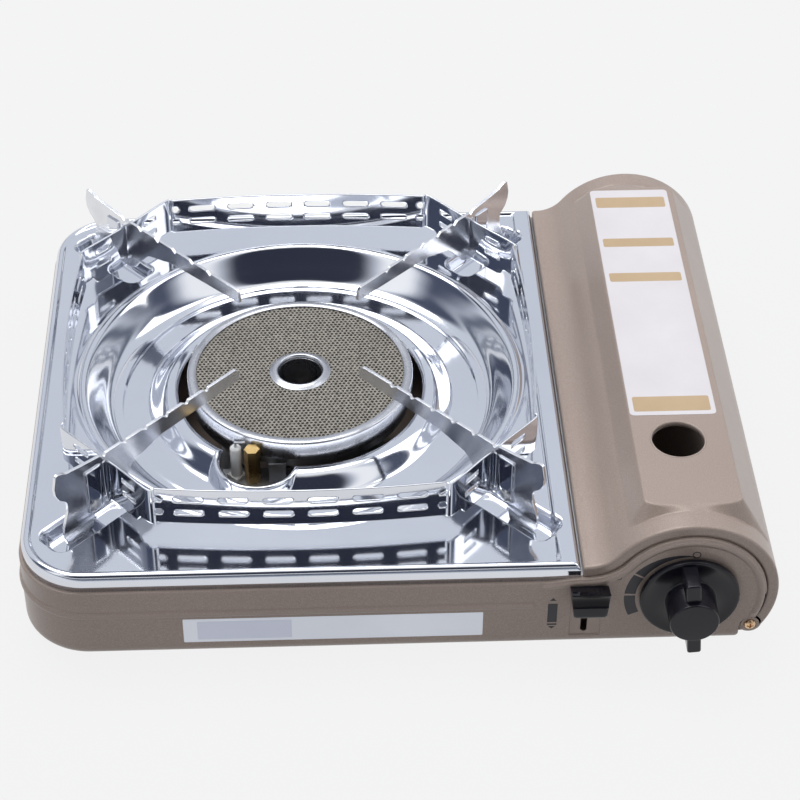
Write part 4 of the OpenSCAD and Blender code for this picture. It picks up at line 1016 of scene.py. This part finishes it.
# ---- stage, light and camera ----
def build_camera():
    """As fitted to the photograph: angles in degrees, the point looked at and the distance from it."""
    yaw, pitch, roll = 2.498, 39.996, 0.357
    aim, distance, lens = (172.761, 116.198, 0), 1080.113, 101.847
    cam = bpy.data.objects.new("camera", bpy.data.cameras.new("camera"))
    SCENE.collection.objects.link(cam)
    SCENE.camera = cam
    (cy, sy), (cp, sp), (cr, sr) = cos_sin(yaw), cos_sin(pitch), cos_sin(roll)
    forward, right = np.array([sy * cp, cy * cp, -sp]), np.array([cy, -sy, 0])
    up = np.cross(right, forward)
    place = to_model(np.array(aim) - forward * distance)
    cam.matrix_world = Matrix([(*row, at) for *row, at in
                               zip(cr * right + sr * up, cr * up - sr * right, -forward, place)]
                              + [(0, 0, 0, 1)])
    cam.data.sensor_width = 36.0
    cam.data.lens = lens
    cam.data.clip_end = 40.0


# soft boxes and dark gaps of the studio: azimuth from the front towards +X, elevation, half sizes
# (degrees), softness, colour
STUDIO = [
    (0, 90, 400, 24, 14, (1.12, 1.12, 1.12)),
    (0, 48, 42, 24, 14, (0.036, 0.041, 0.064)),
    (0, 26, 46, 3.5, 4, (1.1, 1.1, 1.1)),
    (0, 16, 62, 4.0, 4, (0.12, 0.14, 0.19)),
    (88, 36, 16, 17, 14, (0.085, 0.100, 0.150)),
    (-88, 36, 16, 17, 14, (0.085, 0.100, 0.150)),
    (58, 44, 9, 26, 9, (1.15, 1.15, 1.15)),
    (-58, 44, 9, 26, 9, (1.15, 1.15, 1.15)),
    (140, 14, 300, 2.5, 4, (0.14, 0.16, 0.21)),
]
STUDIO_BASE = (0.75, 0.785, 0.86)
HORIZON = (0.90, 0.92, 0.95)
FLOOR_WHITE = 0.86    # share of plain white in the floor as seen and mirrored


def calc(tree, operation, *values):
    """Result of a Math node."""
    node = add(tree, "Math")
    node.operation = operation
    for socket, value in zip(node.inputs, values):
        set_socket(tree, socket, value)
    return node.outputs[0]


def band(tree, angle, centre, half, soft):
    """1 within half of the centre, falling to 0 over soft, all in degrees."""
    away = calc(tree, "ABSOLUTE", calc(tree, "SUBTRACT", angle, centre))
    edge = calc(tree, "DIVIDE", calc(tree, "SUBTRACT", half + soft / 2, away), soft)
    node = add(tree, "MapRange", Value=edge)
    node.interpolation_type = "SMOOTHSTEP"
    return node.outputs["Result"]


def build_world():
    """A studio of soft boxes and dark gaps over a pale horizon."""
    world = bpy.data.worlds.new("studio")
    SCENE.world = world
    world.use_nodes = True
    tree = world.node_tree
    tree.nodes.clear()
    x, y, z = add(tree, "SeparateXYZ", Vector=add(tree, "TexCoord").outputs["Generated"]).outputs
    to_deg = 180 / math.pi
    azimuth = calc(tree, "ARCTAN2", x, calc(tree, "MULTIPLY", y, -1.0))
    azimuth = calc(tree, "MULTIPLY", azimuth, to_deg)
    elevation = calc(tree, "MULTIPLY", calc(tree, "ARCSINE", z), to_deg)
    colour = colour_mix(tree, band(tree, elevation, -40, 51, 4), STUDIO_BASE, HORIZON)
    for az, el, half_az, half_el, soft, tone in STUDIO:
        fac = calc(tree, "MULTIPLY", band(tree, azimuth, az, half_az, soft),
                   band(tree, elevation, el, half_el, soft))
        colour = colour_mix(tree, fac, colour, tone)
    back = add(tree, "Background", Color=colour)
    add(tree, "OutputWorld", Surface=back.outputs["Background"])


def build_stage():
    """Pale floor: white to the camera and in reflections, with the object's shadow still on it."""
    size = 14.0
    mesh = bpy.data.meshes.new("floor")
    mesh.from_pydata([(-size, -size, 0), (size, -size, 0), (size, size, 0), (-size, size, 0)], [],
                     [(0, 1, 2, 3)])
    floor = bpy.data.objects.new("floor", mesh)
    SCENE.collection.objects.link(floor)
    mat, tree, shader = new_material("studio_floor")
    tone = ramp(tree, noise(tree, 3.0), (0.3, (0.24, 0.24, 0.25)), (0.7, (0.26, 0.26, 0.27)))
    feed(tree, shader, Base_Color=tone, Roughness=0.9, Specular_IOR_Level=0.2)
    rays = add(tree, "LightPath").outputs
    seen = calc(tree, "MAXIMUM", rays["Is Camera Ray"], rays["Is Glossy Ray"])
    seen = calc(tree, "MAXIMUM", seen, rays["Is Transmission Ray"])
    glow = add(tree, "Emission", Color=(1, 1, 1))
    mix = add(tree, "MixShader", Fac=calc(tree, "MULTIPLY", seen, FLOOR_WHITE))
    set_socket(tree, mix.inputs[1], shader.outputs["BSDF"])
    set_socket(tree, mix.inputs[2], glow.outputs["Emission"])
    feed(tree, tree.nodes["Material Output"], Surface=mix.outputs["Shader"])
    mesh.materials.append(mat)


def area_light(name, place, aim, size, watts):
    data = bpy.data.lights.new(name, "AREA")
    data.shape = "RECTANGLE"
    data.size, data.size_y = size
    data.energy = watts
    lamp = bpy.data.objects.new(name, data)
    SCENE.collection.objects.link(lamp)
    lamp.location = place
    lamp.rotation_euler = (Vector(aim) - Vector(place)).to_track_quat("-Z", "Y").to_euler()


def build_lights():
    area_light("key", (-0.3, 0.45, 1.5), (0, 0, 0.05), (1.2, 0.9), 13)
    area_light("fill", (1.1, 0.2, 1.2), (0.1, 0, 0.05), (0.5, 1.2), 4)


build_camera()
build_world()
build_stage()
build_lights()
dress_nodes()
build_top_plate()
build_cover()
build_base()
build_burner()
build_arms()
build_guards()
build_rivets()
build_knob()
build_lever()
build_hinge_screws()
build_marks()
build_labels()

SCENE.view_settings.view_transform = "Standard"
